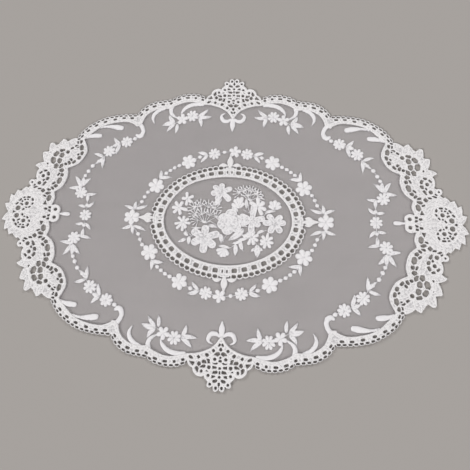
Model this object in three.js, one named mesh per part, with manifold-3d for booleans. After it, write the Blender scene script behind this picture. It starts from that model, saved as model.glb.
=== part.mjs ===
// An oval lace doily lying flat, in millimetres, +Z up, its middle at the origin and
// its underside at z = 0. X runs along its length and Y across it.
//
// Four pieces are sewn edge to edge: a net ground with embroidered sprays, the openwork
// border round it, an openwork ring set into its middle, and the net oval inside the
// ring with its bouquet. One quarter of the layout is given and mirrored into the other
// three. Only the bouquet is laid out on its own. The cloth doesn't lie quite straight,
// so every outline then goes to its place in the cloth as it lies.
import * as THREE from 'three';
import { mergeVertices } from 'three/addons/utils/BufferGeometryUtils.js';
import Module from 'manifold-3d';

const wasm = await Module();
wasm.setup();

// Thicknesses and seams
const NET_THICKNESS = 1.0;
const LACE_THICKNESS = 1.4;
const SATIN_RISE = 0.8; // of a satin leaf, petal or band above the net
const BAND_RISE = 0.5; // of a satin band above the openwork
const SEAM_GAP = 0.38; // between two pieces sewn edge to edge, at least 0.3 as the cloth lies
const ROOT_DEPTH = 0.5; // of a raised motif's root inside its cloth
const SINK = 0.02; // of a raised motif's rim under its cloth's face
const CUT_MARGIN = 1; // of a cutting tool past the face it cuts
const MITRE_LIMIT = 3; // most that a sharp corner's offset may be stretched

// How the cloth lies: a touch narrower than its layout, its far side drawn in by a
// flat-topped bell, the far part of its medallion kept out of that, and slow waves of
// place through the whole. Waves are given by the length of one radian.
const LIE = { x: 0.25, y: 0.5, narrowed: 0.0033, wave: 0.32 };
const WAVE_ASIDE = { x: 31, y: 23, startX: 0.7, startY: 0.4 };
const WAVE_ALONG = { x: 37, y: 27, startX: 1.1, startY: 1.9 };
const DRAWN = { by: 5.8, x: -25, wide: 183, low: 45, high: 95, near: 48, far: 95 };
const KEPT = { by: 5, x: -12, wide: 58, y: 38, deep: 20 };

// Picots of the border's edge
const PICOT_PITCH = 6.5;
const PICOT_DEPTH = 1.7;

// Medallion ring: half lengths along X and Y
const RING_INNER = { x: 81, y: 60.5 };
const RING_LADDER = { x: 87, y: 66.3 }; // middles of the square holes
const RING_OUTER = { x: 100, y: 78 };
const RING_SCALLOPS = 68;
const SCALLOP_DEPTH = 2.2;
const INNER_EDGE_STEPS = 64;
const SQUARE_HOLE = { long: 5, wide: 4.5 };

// Net-side edge of the border, one run after the other, from the crest's point on the
// Y axis to the end rings on the X axis. Each run is a smooth curve in so many steps.
const NET_SIDE = [
  { run: 'crest', steps: 6, points: [[0, 146.5], [5, 150.8], [11, 157], [22, 164.4], [38, 166.2]] },
  { run: 'first scallop', steps: 6, points: [[38, 166.2], [60, 170.6], [76, 166.6], [88, 159.8]] },
  { run: 'second scallop', steps: 6, points: [[88, 159.8], [106, 158.8], [120, 150], [126, 137]] },
  { run: 'foot of the curl', steps: 1, points: [[126, 137], [131.5, 133]] },
  { run: 'third scallop', steps: 9, points: [[131.5, 133], [150, 139], [180, 131.3], [204, 109.5]] },
  { run: 'first lobe', steps: 7, points: [[204, 109.5], [197.5, 92], [206, 74], [221, 65.5]] },
  { run: 'second lobe', steps: 6, points: [[221, 65.5], [219.3, 54], [224, 39], [234, 30.2]] },
  { run: 'third lobe', steps: 3, points: [[234, 30.2], [231.6, 21], [234.5, 10.8]] },
  { run: 'end ring', steps: 4, points: [[234.5, 10.8], [228, 12.4], [221.6, 7], [222.2, 0]] },
];

// Outer edge of the border, clockwise from the Y axis: the crest's loops, rings and
// scroll, three picot scallops, the pointed lobes of the lace end, its scroll and ring,
// and the lobes of the end fan. Angles are in degrees from the X axis.
const CREST_TOP = { x: 0, y: 200.6 };
const CREST_ROUNDS = [
  { name: 'top loop', x: 3.8, y: 203.5, radius: 3.2, from: 215, to: -35 },
  { name: 'side loop', x: 11.3, y: 199.6, radius: 3.1, from: 165, to: -60 },
  { name: 'ring', x: 13.4, y: 190, radius: 4.7, from: 65, to: -30 },
  { name: 'scroll', x: 23.4, y: 183.3, radius: 7.3, from: 120, to: 0 },
  { name: 'shoulder', x: 30.4, y: 173.8, radius: 8.4, from: 65, to: 0 },
];
const PICOT_SCALLOPS = [
  [[40, 178.6], [50, 182.2], [60, 183], [70, 181.8], [80, 178.8], [87, 174.2]],
  [[87, 174.2], [98, 172.6], [110, 170.6], [121, 165.5], [129, 158.5], [134, 151]],
  [[134, 151], [148, 150.4], [163, 148.6], [178, 144.6], [192, 137], [205, 126.5], [215, 112.5]],
];
const LOBE_LEAVES = [ // the valley before each pointed leaf, and its tip
  { x: 213.2, y: 110.9, tipX: 221, tipY: 109 },
  { x: 228, y: 103.2, tipX: 233.2, tipY: 107.7 },
  { x: 240.8, y: 97.8, tipX: 251.2, tipY: 100.8 },
  { x: 251.6, y: 88.5, tipX: 259.9, tipY: 87 },
  { x: 256, y: 72.5, tipX: 266.8, tipY: 67.8 },
];
const LOBE_ROUNDS = [
  { name: 'scroll', x: 253.6, y: 54, radius: 9.6, from: 50, to: -38 },
  { name: 'ring', x: 267, y: 42.5, radius: 4.5, from: 125, to: -85 },
];
const FAN_LEAVES = [
  { x: 272, y: 34.2, tipX: 273.9, tipY: 35.6 },
  { x: 280, y: 29, tipX: 284.4, tipY: 30.5 },
  { x: 288, y: 22.4, tipX: 292.6, tipY: 24.2 },
  { x: 292.6, y: 12.4, tipX: 298.4, tipY: 11.2 },
];
const FAN_MIDDLE = { x: 291.8, y: 0 };
const ARC_STEP = 42; // degrees, at most, between two corners of a round edge

// Openings of the lace: middle, size along and across, and turn in degrees
const END_GAPS = [
  { x: 206, y: 96.5, long: 8, wide: 5, turn: 80, corners: 5 },
  { x: 204.8, y: 87.5, long: 5.5, wide: 3.2, turn: 105, corners: 4 },
  { x: 207.4, y: 81.8, long: 5, wide: 3.4, turn: 110, corners: 4 },
  { x: 209.4, y: 106.5, long: 5, wide: 3.4, turn: 130, corners: 4 },
  { x: 221, y: 73.4, long: 4.5, wide: 4.2, turn: 20, corners: 4 },
  { x: 231, y: 67.8, long: 7.5, wide: 4, turn: 115, corners: 5 },
  { x: 229.4, y: 61.8, long: 6, wide: 5.5, turn: 30, corners: 5 },
  { x: 227.8, y: 55.2, long: 4.4, wide: 4, turn: 60, corners: 4 },
  { x: 230, y: 46.5, long: 9, wide: 5.4, turn: 110, corners: 6 },
  { x: 233.6, y: 38.8, long: 5.5, wide: 4.6, turn: 140, corners: 5 },
  { x: 224.6, y: 89, long: 5.2, wide: 5.2, turn: 0, corners: 7 },
  { x: 233, y: 91, long: 7.6, wide: 3.4, turn: -15, corners: 5 },
  { x: 240.4, y: 85.6, long: 8.6, wide: 5, turn: 130, corners: 6 },
  { x: 243.4, y: 76, long: 9.4, wide: 6, turn: 75, corners: 6 },
  { x: 238, y: 67.6, long: 7, wide: 5.4, turn: 100, corners: 5 },
  { x: 234.4, y: 75.6, long: 7.2, wide: 5.4, turn: 95, corners: 6 },
  { x: 232.4, y: 83.8, long: 7, wide: 5.4, turn: 110, corners: 6 },
  { x: 253.5, y: 52.5, long: 4.4, wide: 4.4, turn: 0, corners: 6 },
  { x: 246.8, y: 55.6, long: 5.2, wide: 2.8, turn: 65, corners: 4 },
  { x: 246.8, y: 48.6, long: 6.5, wide: 3.4, turn: 120, corners: 5 },
  { x: 249.8, y: 41.8, long: 6.5, wide: 2.4, turn: 125, corners: 4 },
  { x: 257, y: 42, long: 4.8, wide: 4.8, turn: 0, corners: 6 },
  { x: 250, y: 31.4, long: 4.2, wide: 4, turn: 45, corners: 4 },
  { x: 242.4, y: 28, long: 6, wide: 4, turn: -20, corners: 4 },
  { x: 239.8, y: 21, long: 8, wide: 5.4, turn: 95, corners: 6 },
  { x: 243.8, y: 13.6, long: 6.4, wide: 4.6, turn: 90, corners: 3 },
  { x: 228, y: 5.5, long: 4.2, wide: 4.2, turn: 0, corners: 6 },
  { x: 268.5, y: 12, long: 4.6, wide: 4.6, turn: 0, corners: 6 },
  { x: 279.7, y: 5, long: 6, wide: 6, turn: 0, corners: 7 },
  { x: 262, y: 17.6, long: 5.4, wide: 2.2, turn: 60, corners: 4 },
  { x: 279.4, y: 15.6, long: 5, wide: 2.4, turn: -55, corners: 4 },
  { x: 283, y: 9.4, long: 5.4, wide: 2.4, turn: -60, corners: 4 },
];
const ROUND_REACH = 1.08; // of a many-cornered opening's corners, so that it keeps its area
const CREST_GAPS = [
  { x: 0, y: 161.8, long: 6, wide: 4, turn: 90, corners: 4 },
  { x: 5, y: 167, long: 6.5, wide: 4.4, turn: 0, corners: 3 },
  { x: 16, y: 168.6, long: 4.2, wide: 3.6, turn: 30, corners: 4 },
  { x: 25.5, y: 177.6, long: 5.4, wide: 5, turn: 0, corners: 6 },
  { x: 33.4, y: 176.8, long: 6.6, wide: 5, turn: -30, corners: 3 },
  { x: 26.6, y: 184.2, long: 6, wide: 4, turn: -50, corners: 5 },
  { x: 19.4, y: 176, long: 5.2, wide: 3.4, turn: 0, corners: 5 },
  { x: 13.4, y: 174.4, long: 5, wide: 3, turn: 55, corners: 4 },
  { x: 6.2, y: 187.2, long: 5.2, wide: 3, turn: 15, corners: 4 },
  { x: 7.2, y: 182, long: 5, wide: 2.6, turn: 35, corners: 4 },
];
// Ladder row of the border: middle of each slot and its turn
const LADDER_SLOT = { long: 4.6, wide: 2.6 };
const LADDER_ROW = [
  { x: 44, y: 174, turn: 15 },
  { x: 54, y: 176.4, turn: 8 },
  { x: 65, y: 176.8, turn: 0 },
  { x: 77, y: 174, turn: -20 },
  { x: 88, y: 168.4, turn: -35 },
  { x: 99, y: 166.6, turn: -5 },
  { x: 110.5, y: 163.6, turn: -15 },
  { x: 121, y: 158, turn: -35 },
  { x: 128.6, y: 150.4, turn: -50 },
  { x: 141, y: 145, turn: 0 },
  { x: 152.5, y: 144.8, turn: -5 },
  { x: 165, y: 142, turn: -18 },
  { x: 178.5, y: 137.6, turn: -22 },
  { x: 190.5, y: 131.4, turn: -32 },
  { x: 200.6, y: 122.8, turn: -42 },
  { x: 208.4, y: 113.6, turn: -55 },
];
// Square holes of the medallion ring, as angles on its ellipse
const RING_HOLES = [8.2, 16.5, 25.3, 34.2, 43.6, 54.2, 65.2, 73.6, 81.8];

// Corners of one petal: share of its angle and share of the flower's radius
const ROUND_PETAL = [{ share: 0, reach: 0.6 }, { share: 0.24, reach: 0.97 }, { share: 0.76, reach: 0.97 }];
const NARROW_PETAL = [{ share: 0, reach: 0.56 }, { share: 0.5, reach: 1.06 }];
const ROSE_PETAL = [{ share: 0, reach: 0.9 }, { share: 0.5, reach: 1 }];
const BEAD_CORNER = [{ share: 0, reach: 1 }];
const MANY_PETALS = 6; // above this, petals are narrow
const BEAD_SIDES = 5;
const LEAF_WIDEST = 0.42; // where a leaf is widest, as a share of its length

// Satin bands on the net: middle line with the width at each point
const NET_BANDS = [
  { name: 'crescent 3', points: [[43, 168.4, 5], [55, 168.2, 5], [64, 165, 5], [70, 159, 4],
    [72.6, 153.6, 0]] },
  { name: 'crescent 2', points: [[85.6, 164, 6], [86, 157.5, 5], [84, 152.6, 4], [79.2, 149.4, 0]] },
  { name: 'crescent 1', points: [[97, 161.6, 5], [105, 157, 4.6], [110.6, 150.5, 4.6], [111, 144.6, 3.6],
    [108.6, 138.6, 0]] },
  { name: 'curl', points: [[130.5, 138, 7], [125.4, 132, 6.4], [123.2, 125.5, 6.4], [125, 119.6, 8],
    [130, 118.6, 9], [133.4, 119.6, 0]] },
  { name: 'upper teardrop', points: [[184, 129.6, 4], [175, 131, 3.8], [167, 131.2, 6.6], [159.5, 130.6, 9],
    [154, 129.8, 7], [150.6, 128.6, 0]] },
  { name: 'lower teardrop', points: [[205, 112.6, 5], [196.5, 114.8, 6], [190, 116, 8], [183.6, 116.6, 7],
    [178.4, 116.4, 0]] },
  { name: 'fleur hook', points: [[3.4, 145.4, 3], [9, 142.4, 5], [15, 144.6, 5.2], [16.6, 150, 4.4],
    [10.6, 155.4, 0]] },
  { name: 'fleur petal', points: [[0, 152, 3], [0, 146.4, 4], [0, 138.6, 7.8], [0, 127.6, 0]] },
  { name: 'finger', points: [[223, 0, 3], [219, 0, 4.4], [212, 0, 6], [207, 0, 0]] },
  { name: 'ring pendant', points: [[0, 76, 4], [0, 84, 9], [0, 93.6, 0]] },
  { name: 'pendant side', points: [[4, 77, 3], [10, 79.6, 5], [15.6, 78.6, 0]] },
  { name: 'ring end leaf', points: [[99, 0, 4], [107, 0, 9], [118.4, 0, 0]] },
];
// Leaves: base, tip and width
const NET_LEAVES = [
  { x: 48.5, y: 149, tipX: 34, tipY: 161, width: 5 },
  { x: 48, y: 148.6, tipX: 28, tipY: 149.6, width: 5 },
  { x: 47, y: 148, tipX: 42.6, tipY: 133.6, width: 5 },
  { x: 79.6, y: 140, tipX: 89.2, tipY: 152, width: 5.4 },
  { x: 79, y: 138.6, tipX: 98, tipY: 134.6, width: 6.4 },
  { x: 79.6, y: 137.6, tipX: 90.6, tipY: 125, width: 4.4 },
  { x: 76.4, y: 138.4, tipX: 78, tipY: 123.6, width: 4.6 },
  { x: 31, y: 93.4, tipX: 45.6, tipY: 97, width: 5 },
  { x: 31, y: 92, tipX: 40.6, tipY: 81.4, width: 4 },
  { x: 93.4, y: 58, tipX: 77, tipY: 59.8, width: 4.6 },
  { x: 93.4, y: 57, tipX: 93, tipY: 71, width: 4.4 },
  { x: 122.4, y: 12.6, tipX: 104, tipY: 19.6, width: 4.4 },
  { x: 122.4, y: 12, tipX: 120.6, tipY: 25, width: 4.2 },
  { x: 123, y: 11.4, tipX: 137.6, tipY: 17, width: 4.6 },
  { x: 153, y: 105, tipX: 163.8, tipY: 115.4, width: 4.8 },
  { x: 153, y: 104.4, tipX: 157.2, tipY: 89, width: 4.8 },
  { x: 153, y: 106.4, tipX: 165, tipY: 100.6, width: 4.4 },
  { x: 173.4, y: 84.6, tipX: 189.6, tipY: 89.2, width: 4.4 },
  { x: 172.4, y: 85, tipX: 173, tipY: 67.6, width: 4.6 },
  { x: 173.6, y: 84, tipX: 185.4, tipY: 73.4, width: 4.4 },
  { x: 198, y: 40.4, tipX: 185.6, tipY: 53.6, width: 5 },
  { x: 197.6, y: 40.6, tipX: 197.4, tipY: 56, width: 5.4 },
  { x: 200, y: 40.4, tipX: 209.6, tipY: 55.4, width: 5 },
  { x: 199.6, y: 40.4, tipX: 216.4, tipY: 37.6, width: 4.6 },
  { x: 190.6, y: 30, tipX: 174.6, tipY: 32.6, width: 4.2 },
  { x: 187, y: 30, tipX: 186.8, tipY: 18.4, width: 4.6 },
  { x: 186, y: 11.4, tipX: 177.4, tipY: 20.6, width: 4 },
  { x: 188, y: 11.6, tipX: 199.6, tipY: 13, width: 4 },
];
// Flowers: middle, radius, number of petals, turn of the first petal
const NET_FLOWERS = [
  { x: 56, y: 150, radius: 8.6, petals: 8, turn: 22 },
  { x: 69.6, y: 145, radius: 8.4, petals: 5, turn: 90 },
  { x: 0, y: 99, radius: 8.2, petals: 5, turn: 90 },
  { x: 22, y: 95.4, radius: 8.4, petals: 8, turn: 8 },
  { x: 56, y: 83, radius: 10.6, petals: 6, turn: 38 },
  { x: 97, y: 47.4, radius: 11, petals: 6, turn: 12 },
  { x: 125, y: 0, radius: 11, petals: 6, turn: 90 },
  { x: 144.4, y: 109.4, radius: 8.6, petals: 8, turn: 0 },
  { x: 167, y: 94.2, radius: 8.8, petals: 8, turn: 20 },
  { x: 197.4, y: 32, radius: 8.8, petals: 8, turn: 28 },
  { x: 187, y: 0, radius: 8.4, petals: 8, turn: 22.5 },
];
const NET_BEADS = [
  { x: 9, y: 98, radius: 2.5 },
  { x: 41.6, y: 90.4, radius: 2.6 },
  { x: 68.6, y: 77.2, radius: 2.7 },
  { x: 74.8, y: 74, radius: 2.6 },
  { x: 80.2, y: 70, radius: 2.6 },
  { x: 85.4, y: 65.8, radius: 2.6 },
  { x: 107.2, y: 38, radius: 2.6 },
  { x: 111, y: 31, radius: 2.6 },
  { x: 114, y: 23.6, radius: 2.6 },
  { x: 133.6, y: 114.6, radius: 2.8 },
  { x: 187, y: 71, radius: 2.8 },
  { x: 191.6, y: 63, radius: 2.8 },
  { x: 195, y: 56.4, radius: 2.6 },
  { x: 187, y: 14.6, radius: 2.4 },
];

// Bouquet of the medallion
const BOUQUET_FLOWERS = [
  { x: 2, y: -2, radius: 17.4, petals: 7, turn: 12, shape: ROSE_PETAL },
  { x: -27, y: -26, radius: 18, petals: 6, turn: 22 },
  { x: -9, y: 36, radius: 14, petals: 6, turn: 30 },
  { x: -54, y: 28, radius: 9, petals: 5, turn: 90 },
  { x: -64, y: 14, radius: 10, petals: 6, turn: 20 },
  { x: -57, y: -7, radius: 11.4, petals: 8, turn: 20 },
  { x: 39, y: 21, radius: 11, petals: 6, turn: 30 },
  { x: 32, y: 1, radius: 16, petals: 6, turn: 0 },
  { x: 61, y: -3, radius: 14.6, petals: 6, turn: 0 },
  { x: 32, y: -24, radius: 11, petals: 8, turn: 10 },
  { x: 49, y: -28, radius: 11, petals: 8, turn: 0 },
  { x: 60, y: 24, radius: 9, petals: 5, turn: 90 },
  { x: -4, y: -46, radius: 8.6, petals: 5, turn: -90 },
  { x: 39, y: -42, radius: 7, petals: 3, turn: -90 },
  { x: 15, y: 25, radius: 8.6, petals: 5, turn: 60 },
  { x: -30, y: 11, radius: 22, petals: 12, turn: 0 },
  { x: 27, y: 37, radius: 16, petals: 10, turn: 0 },
];
const BOUQUET_LEAVES = [
  { x: 18, y: -12, tipX: 1, tipY: -29, width: 7 },
  { x: 20, y: 16, tipX: 22, tipY: 30, width: 5 },
  { x: 8, y: -40, tipX: 12, tipY: -49, width: 5 },
  { x: 18, y: -28, tipX: 21, tipY: -40, width: 4.6 },
  { x: 6, y: -38, tipX: -9, tipY: -36, width: 3.6 },
  { x: 22, y: -24, tipX: 7, tipY: -31, width: 4 },
  { x: -48, y: -24, tipX: -61, tipY: -32, width: 5 },
  { x: -47, y: -24, tipX: -46, tipY: -36, width: 5 },
  { x: -44, y: -13, tipX: -55, tipY: -22, width: 3 },
  { x: -8, y: -20, tipX: -6, tipY: -32, width: 5 },
  { x: -12, y: -12, tipX: -27, tipY: -6, width: 6 },
  { x: 4, y: 16, tipX: 12, tipY: 10, width: 5 },
  { x: 50, y: 8, tipX: 62, tipY: 16, width: 3 },
];

// Raised leaves and lobes of the lace end: base, tip and width
const END_LEAVES = [
  { x: 226, y: 96, tipX: 232.6, tipY: 106.4, width: 6 },
  { x: 238, y: 93, tipX: 250, tipY: 99.6, width: 8 },
  { x: 248.6, y: 80, tipX: 258.6, tipY: 86, width: 8 },
  { x: 247, y: 66, tipX: 265, tipY: 67, width: 8 },
  { x: 262, y: 27, tipX: 272.8, tipY: 34.4, width: 6 },
  { x: 270, y: 25, tipX: 283.4, tipY: 29.4, width: 7 },
  { x: 279, y: 21, tipX: 291.2, tipY: 23, width: 7 },
  { x: 286.4, y: 6, tipX: 297, tipY: 10, width: 7 },
  { x: 213, y: 90, tipX: 229, tipY: 98, width: 10 },
  { x: 236, y: 58, tipX: 246, tipY: 37, width: 8 },
  { x: 246, y: 4, tipX: 258, tipY: 30, width: 12 },
];

const fabric = (color, roughness) => new THREE.MeshStandardMaterial({ color, roughness, metalness: 0 });
const NET_COTTON = fabric(0xd9d7d6, 0.95);
const SATIN_COTTON = fabric(0xf2efee, 0.8);

// ---- Outlines -------------------------------------------------------------------

const vectors = (points) => points.map(([x, y]) => new THREE.Vector2(x, y));

/** Smooth curve through a run's points, in its steps, without its last point. */
function runPoints({ points, steps }) {
  const curve = new THREE.SplineCurve(vectors(points));
  return curve.getSpacedPoints(steps).slice(0, -1);
}

/** Picots along a scallop: a valley and a peak for each. */
function picotPoints(points) {
  const curve = new THREE.SplineCurve(vectors(points));
  const count = Math.round(curve.getLength() / PICOT_PITCH);
  const places = [];
  for (let picot = 0; picot < count; picot += 1) {
    for (const [share, depth] of [[0, PICOT_DEPTH], [0.5, 0]]) {
      const along = (picot + share) / count;
      const inward = curve.getTangentAt(along).rotateAround(new THREE.Vector2(), -Math.PI / 2);
      places.push(curve.getPointAt(along).addScaledVector(inward, depth));
    }
  }
  return places;
}

/** Corners along an arc, from one angle to another. */
function arcPoints({ x, y, radius, from, to }) {
  const steps = Math.ceil(Math.abs(to - from) / ARC_STEP);
  return Array.from({ length: steps + 1 }, (_, i) => {
    const angle = THREE.MathUtils.degToRad(from + ((to - from) * i) / steps);
    return new THREE.Vector2(x + radius * Math.cos(angle), y + radius * Math.sin(angle));
  });
}

const place = ({ x, y }) => new THREE.Vector2(x, y);
const valleyAndTip = ({ x, y, tipX, tipY }) => [new THREE.Vector2(x, y), new THREE.Vector2(tipX, tipY)];

/** A quarter outline from the Y axis to the X axis, closed by mirroring. */
function fourfold(quarter) {
  const flip = (points, x, y) => points.map((p) => new THREE.Vector2(p.x * x, p.y * y));
  const inner = quarter.slice(1);
  return [
    ...flip(quarter, 1, 1),
    ...flip(quarter.slice(0, -1), 1, -1).reverse(),
    ...flip(inner, -1, -1),
    ...flip(inner.slice(0, -1), -1, 1).reverse(),
  ].reverse();
}

/** A closed outline moved inwards by a distance, or outwards by a negative one, corners kept sharp. */
function inset(loop, distance) {
  return loop.map((here, i) => {
    const before = loop[(i + loop.length - 1) % loop.length];
    const after = loop[(i + 1) % loop.length];
    const [inX, inY] = [before.y - here.y, here.x - before.x];
    const [outX, outY] = [here.y - after.y, after.x - here.x];
    const side = new THREE.Vector2(inX, inY).normalize();
    const mitre = side.clone().add(new THREE.Vector2(outX, outY).normalize()).normalize();
    const stretch = Math.min(1 / mitre.dot(side), MITRE_LIMIT);
    return here.clone().addScaledVector(mitre, distance * stretch);
  });
}

/** Where a point of the layout comes to be in the cloth as it lies. */
function lie(x, y) {
  const off = y < DRAWN.low ? (DRAWN.low - y) / DRAWN.near : Math.max(y - DRAWN.high, 0) / DRAWN.far;
  const drawn = DRAWN.by * Math.exp(-(((x - DRAWN.x) / DRAWN.wide) ** 4) - off ** 2);
  const apart = ((x - KEPT.x) / KEPT.wide) ** 4 + ((y - KEPT.y) / KEPT.deep) ** 2;
  const kept = KEPT.by * Math.exp(-apart);
  const { startX: asideX, startY: asideY } = WAVE_ASIDE;
  const { startX: alongX, startY: alongY } = WAVE_ALONG;
  const waveX = Math.sin(x / WAVE_ASIDE.x + asideX) * Math.cos(y / WAVE_ASIDE.y + asideY);
  const waveY = Math.sin(y / WAVE_ALONG.y + alongY) * Math.cos(x / WAVE_ALONG.x + alongX);
  return {
    x: x + LIE.x + LIE.wave * waveX - LIE.narrowed * x,
    y: y + LIE.y + LIE.wave * waveY - drawn + kept,
  };
}

/** A geometry of the layout, as the cloth lies. */
function laid(geometry) {
  const corners = geometry.attributes.position;
  for (let i = 0; i < corners.count; i += 1) {
    const { x, y } = lie(corners.getX(i), corners.getY(i));
    corners.setXY(i, x, y);
  }
  return geometry;
}

const ellipse = (half, angle) => new THREE.Vector2(half.x * Math.cos(angle), half.y * Math.sin(angle));

/** The ring's outer edge: a valley and a peak for each scallop. */
function scallopedEdge() {
  const places = [];
  for (let scallop = 0; scallop < RING_SCALLOPS; scallop += 1) {
    for (const [share, depth] of [[0, SCALLOP_DEPTH], [0.5, 0]]) {
      const half = { x: RING_OUTER.x - depth, y: RING_OUTER.y - depth };
      places.push(ellipse(half, ((scallop + share) / RING_SCALLOPS) * 2 * Math.PI));
    }
  }
  return places;
}

// ---- Solids ---------------------------------------------------------------------

/** A three.js geometry as a solid that can be joined and cut. */
function solid(geometry) {
  geometry.deleteAttribute('normal');
  geometry.deleteAttribute('uv');
  const merged = mergeVertices(geometry, 1e-4);
  const vertProperties = new Float32Array(merged.attributes.position.array);
  const triVerts = new Uint32Array(merged.index.array);
  return new wasm.Manifold(new wasm.Mesh({ numProp: 3, vertProperties, triVerts }));
}

const joined = (solids) => solids.reduce((all, next) => all.add(next));

/** A closed outline drawn up from one height to another. */
function prism(loop, bottom, top) {
  const options = { depth: top - bottom, bevelEnabled: false };
  return new THREE.ExtrudeGeometry(new THREE.Shape(loop), options).translate(0, 0, bottom);
}

/** A closed outline of the layout as a plate in its place as the cloth lies. */
function plate(loop, bottom, top) {
  const places = loop.map((p) => lie(p.x, p.y));
  return solid(prism(places.map((p) => new THREE.Vector2(p.x, p.y)), bottom, top));
}

/** A geometry from rows of corners and the triangles between them. */
function shell(corners, index) {
  const geometry = new THREE.BufferGeometry();
  geometry.setAttribute('position', new THREE.Float32BufferAttribute(corners.flat(), 3));
  geometry.setIndex(index);
  return geometry;
}

/** Triangles of a wall between two rings of equally many corners. */
function wall(count, lower, upper) {
  return Array.from({ length: count }, (_, i) => {
    const next = (i + 1) % count;
    return [lower + i, lower + next, upper + next, lower + i, upper + next, upper + i];
  }).flat();
}

/** A satin band with a crest along its middle, rising from a cloth's face. */
function band(points, face, rise) {
  const widest = Math.max(...points.map((p) => p[2]));
  const rings = points.map(([x, y, width], i) => {
    const [ax, ay] = points[Math.max(i - 1, 0)];
    const [bx, by] = points[Math.min(i + 1, points.length - 1)];
    const across = new THREE.Vector2(ay - by, bx - ax).setLength(Math.max(width / 2, 0.2));
    const crest = width > 0 ? face + rise * Math.sqrt(width / widest) : face - SINK / 2;
    return [
      [x - across.x, y - across.y, face - ROOT_DEPTH],
      [x + across.x, y + across.y, face - ROOT_DEPTH],
      [x + across.x, y + across.y, face - SINK],
      [x, y, crest],
      [x - across.x, y - across.y, face - SINK],
    ];
  });
  const sides = rings[0].length;
  const last = (rings.length - 1) * sides;
  const index = rings.slice(1).flatMap((_, i) => wall(sides, i * sides, (i + 1) * sides));
  for (let i = 1; i + 1 < sides; i += 1) {
    index.push(0, i + 1, i, last, last + i, last + i + 1);
  }
  return shell(rings.flat(), index);
}

/** A low mound: an outline at a cloth's face that rises to one point. */
function mound(outline, [peakX, peakY], face, rise) {
  const count = outline.length;
  const level = (z) => outline.map(([x, y]) => [x, y, z]);
  const index = wall(count, 0, count);
  for (let i = 0; i < count; i += 1) {
    index.push(count + i, count + ((i + 1) % count), 2 * count);
  }
  for (const corner of THREE.ShapeUtils.triangulateShape(vectors(outline), [])) {
    index.push(...corner.reverse());
  }
  return shell([...level(face - ROOT_DEPTH), ...level(face - SINK), [peakX, peakY, face + rise]], index);
}

/** A satin leaf: a kite with its peak where it is widest. */
function leaf({ x, y, tipX, tipY, width }, face, rise) {
  const [spanX, spanY] = [tipX - x, tipY - y];
  const length = Math.hypot(spanX, spanY);
  const [sideX, sideY] = [(-spanY / length) * (width / 2), (spanX / length) * (width / 2)];
  const [wideX, wideY] = [x + spanX * LEAF_WIDEST, y + spanY * LEAF_WIDEST];
  const outline = [[x, y], [wideX - sideX, wideY - sideY], [tipX, tipY], [wideX + sideX, wideY + sideY]];
  return mound(outline, [wideX, wideY], face, rise);
}

const usualPetal = (petals) => (petals > MANY_PETALS ? NARROW_PETAL : ROUND_PETAL);

/** A flower that rises to its middle, or a bead with one corner for each side. */
function bloom({ x, y, radius, petals = BEAD_SIDES, turn = 0, shape = usualPetal(petals) }, face, rise) {
  const outline = [];
  for (let petal = 0; petal < petals; petal += 1) {
    for (const { share, reach } of shape) {
      const angle = THREE.MathUtils.degToRad(turn) + ((petal + share - 0.5) / petals) * 2 * Math.PI;
      outline.push([x + Math.cos(angle) * radius * reach, y + Math.sin(angle) * radius * reach]);
    }
  }
  return mound(outline, [x, y], face, rise);
}

/** A prism to cut one opening of the lace. */
function gap({ x, y, long, wide, turn, corners }) {
  const spin = THREE.MathUtils.degToRad(turn);
  const loop = [];
  const reach = corners === 4 ? Math.SQRT2 : ROUND_REACH;
  for (let i = 0; i < corners; i += 1) {
    const angle = ((i + 0.5) / corners) * 2 * Math.PI;
    const corner = new THREE.Vector2((long / 2) * Math.cos(angle), (wide / 2) * Math.sin(angle));
    corner.multiplyScalar(reach).rotateAround(new THREE.Vector2(), spin);
    loop.push(corner.add(new THREE.Vector2(x, y)));
  }
  return prism(loop, -CUT_MARGIN, LACE_THICKNESS + BAND_RISE + CUT_MARGIN);
}

/** A geometry mirrored into the four quarters, once where it lies on an axis. */
function quarters(geometry, onX, onY) {
  const signs = [[1, 1], [-1, 1], [-1, -1], [1, -1]].filter(([x, y]) => !(onY && x < 0) && !(onX && y < 0));
  return signs.map(([x, y]) => {
    const copy = mergeVertices(geometry.clone().deleteAttribute('normal').deleteAttribute('uv'), 1e-4);
    copy.scale(x, y, 1);
    if (x * y < 0) {
      copy.setIndex([...copy.index.array].reverse());
    }
    return solid(laid(copy));
  });
}

/** Mirrors a table's rows, each made by a function, as one solid. */
function mirrored(rows, make) {
  return joined(rows.flatMap((row) => {
    const places = row.points || [[row.x, row.y], [row.tipX ?? row.x, row.tipY ?? row.y]];
    return quarters(make(row), places.every((p) => p[1] === 0), places.every((p) => p[0] === 0));
  }));
}

/** A named mesh from a solid. */
function piece(name, body, material) {
  const { vertProperties, triVerts } = body.getMesh();
  const geometry = new THREE.BufferGeometry();
  geometry.setAttribute('position', new THREE.BufferAttribute(vertProperties, 3));
  geometry.setIndex(new THREE.BufferAttribute(triVerts, 1));
  geometry.computeVertexNormals();
  const mesh = new THREE.Mesh(geometry, material);
  mesh.name = name;
  return mesh;
}

// ---- Pieces ---------------------------------------------------------------------

const netSide = fourfold([...NET_SIDE.flatMap(runPoints), ...vectors(NET_SIDE.at(-1).points).slice(-1)]);
const ringOutside = scallopedEdge();
const ringInside = Array.from({ length: INNER_EDGE_STEPS }, (_, i) => {
  return ellipse(RING_INNER, (i / INNER_EDGE_STEPS) * 2 * Math.PI);
});

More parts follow.
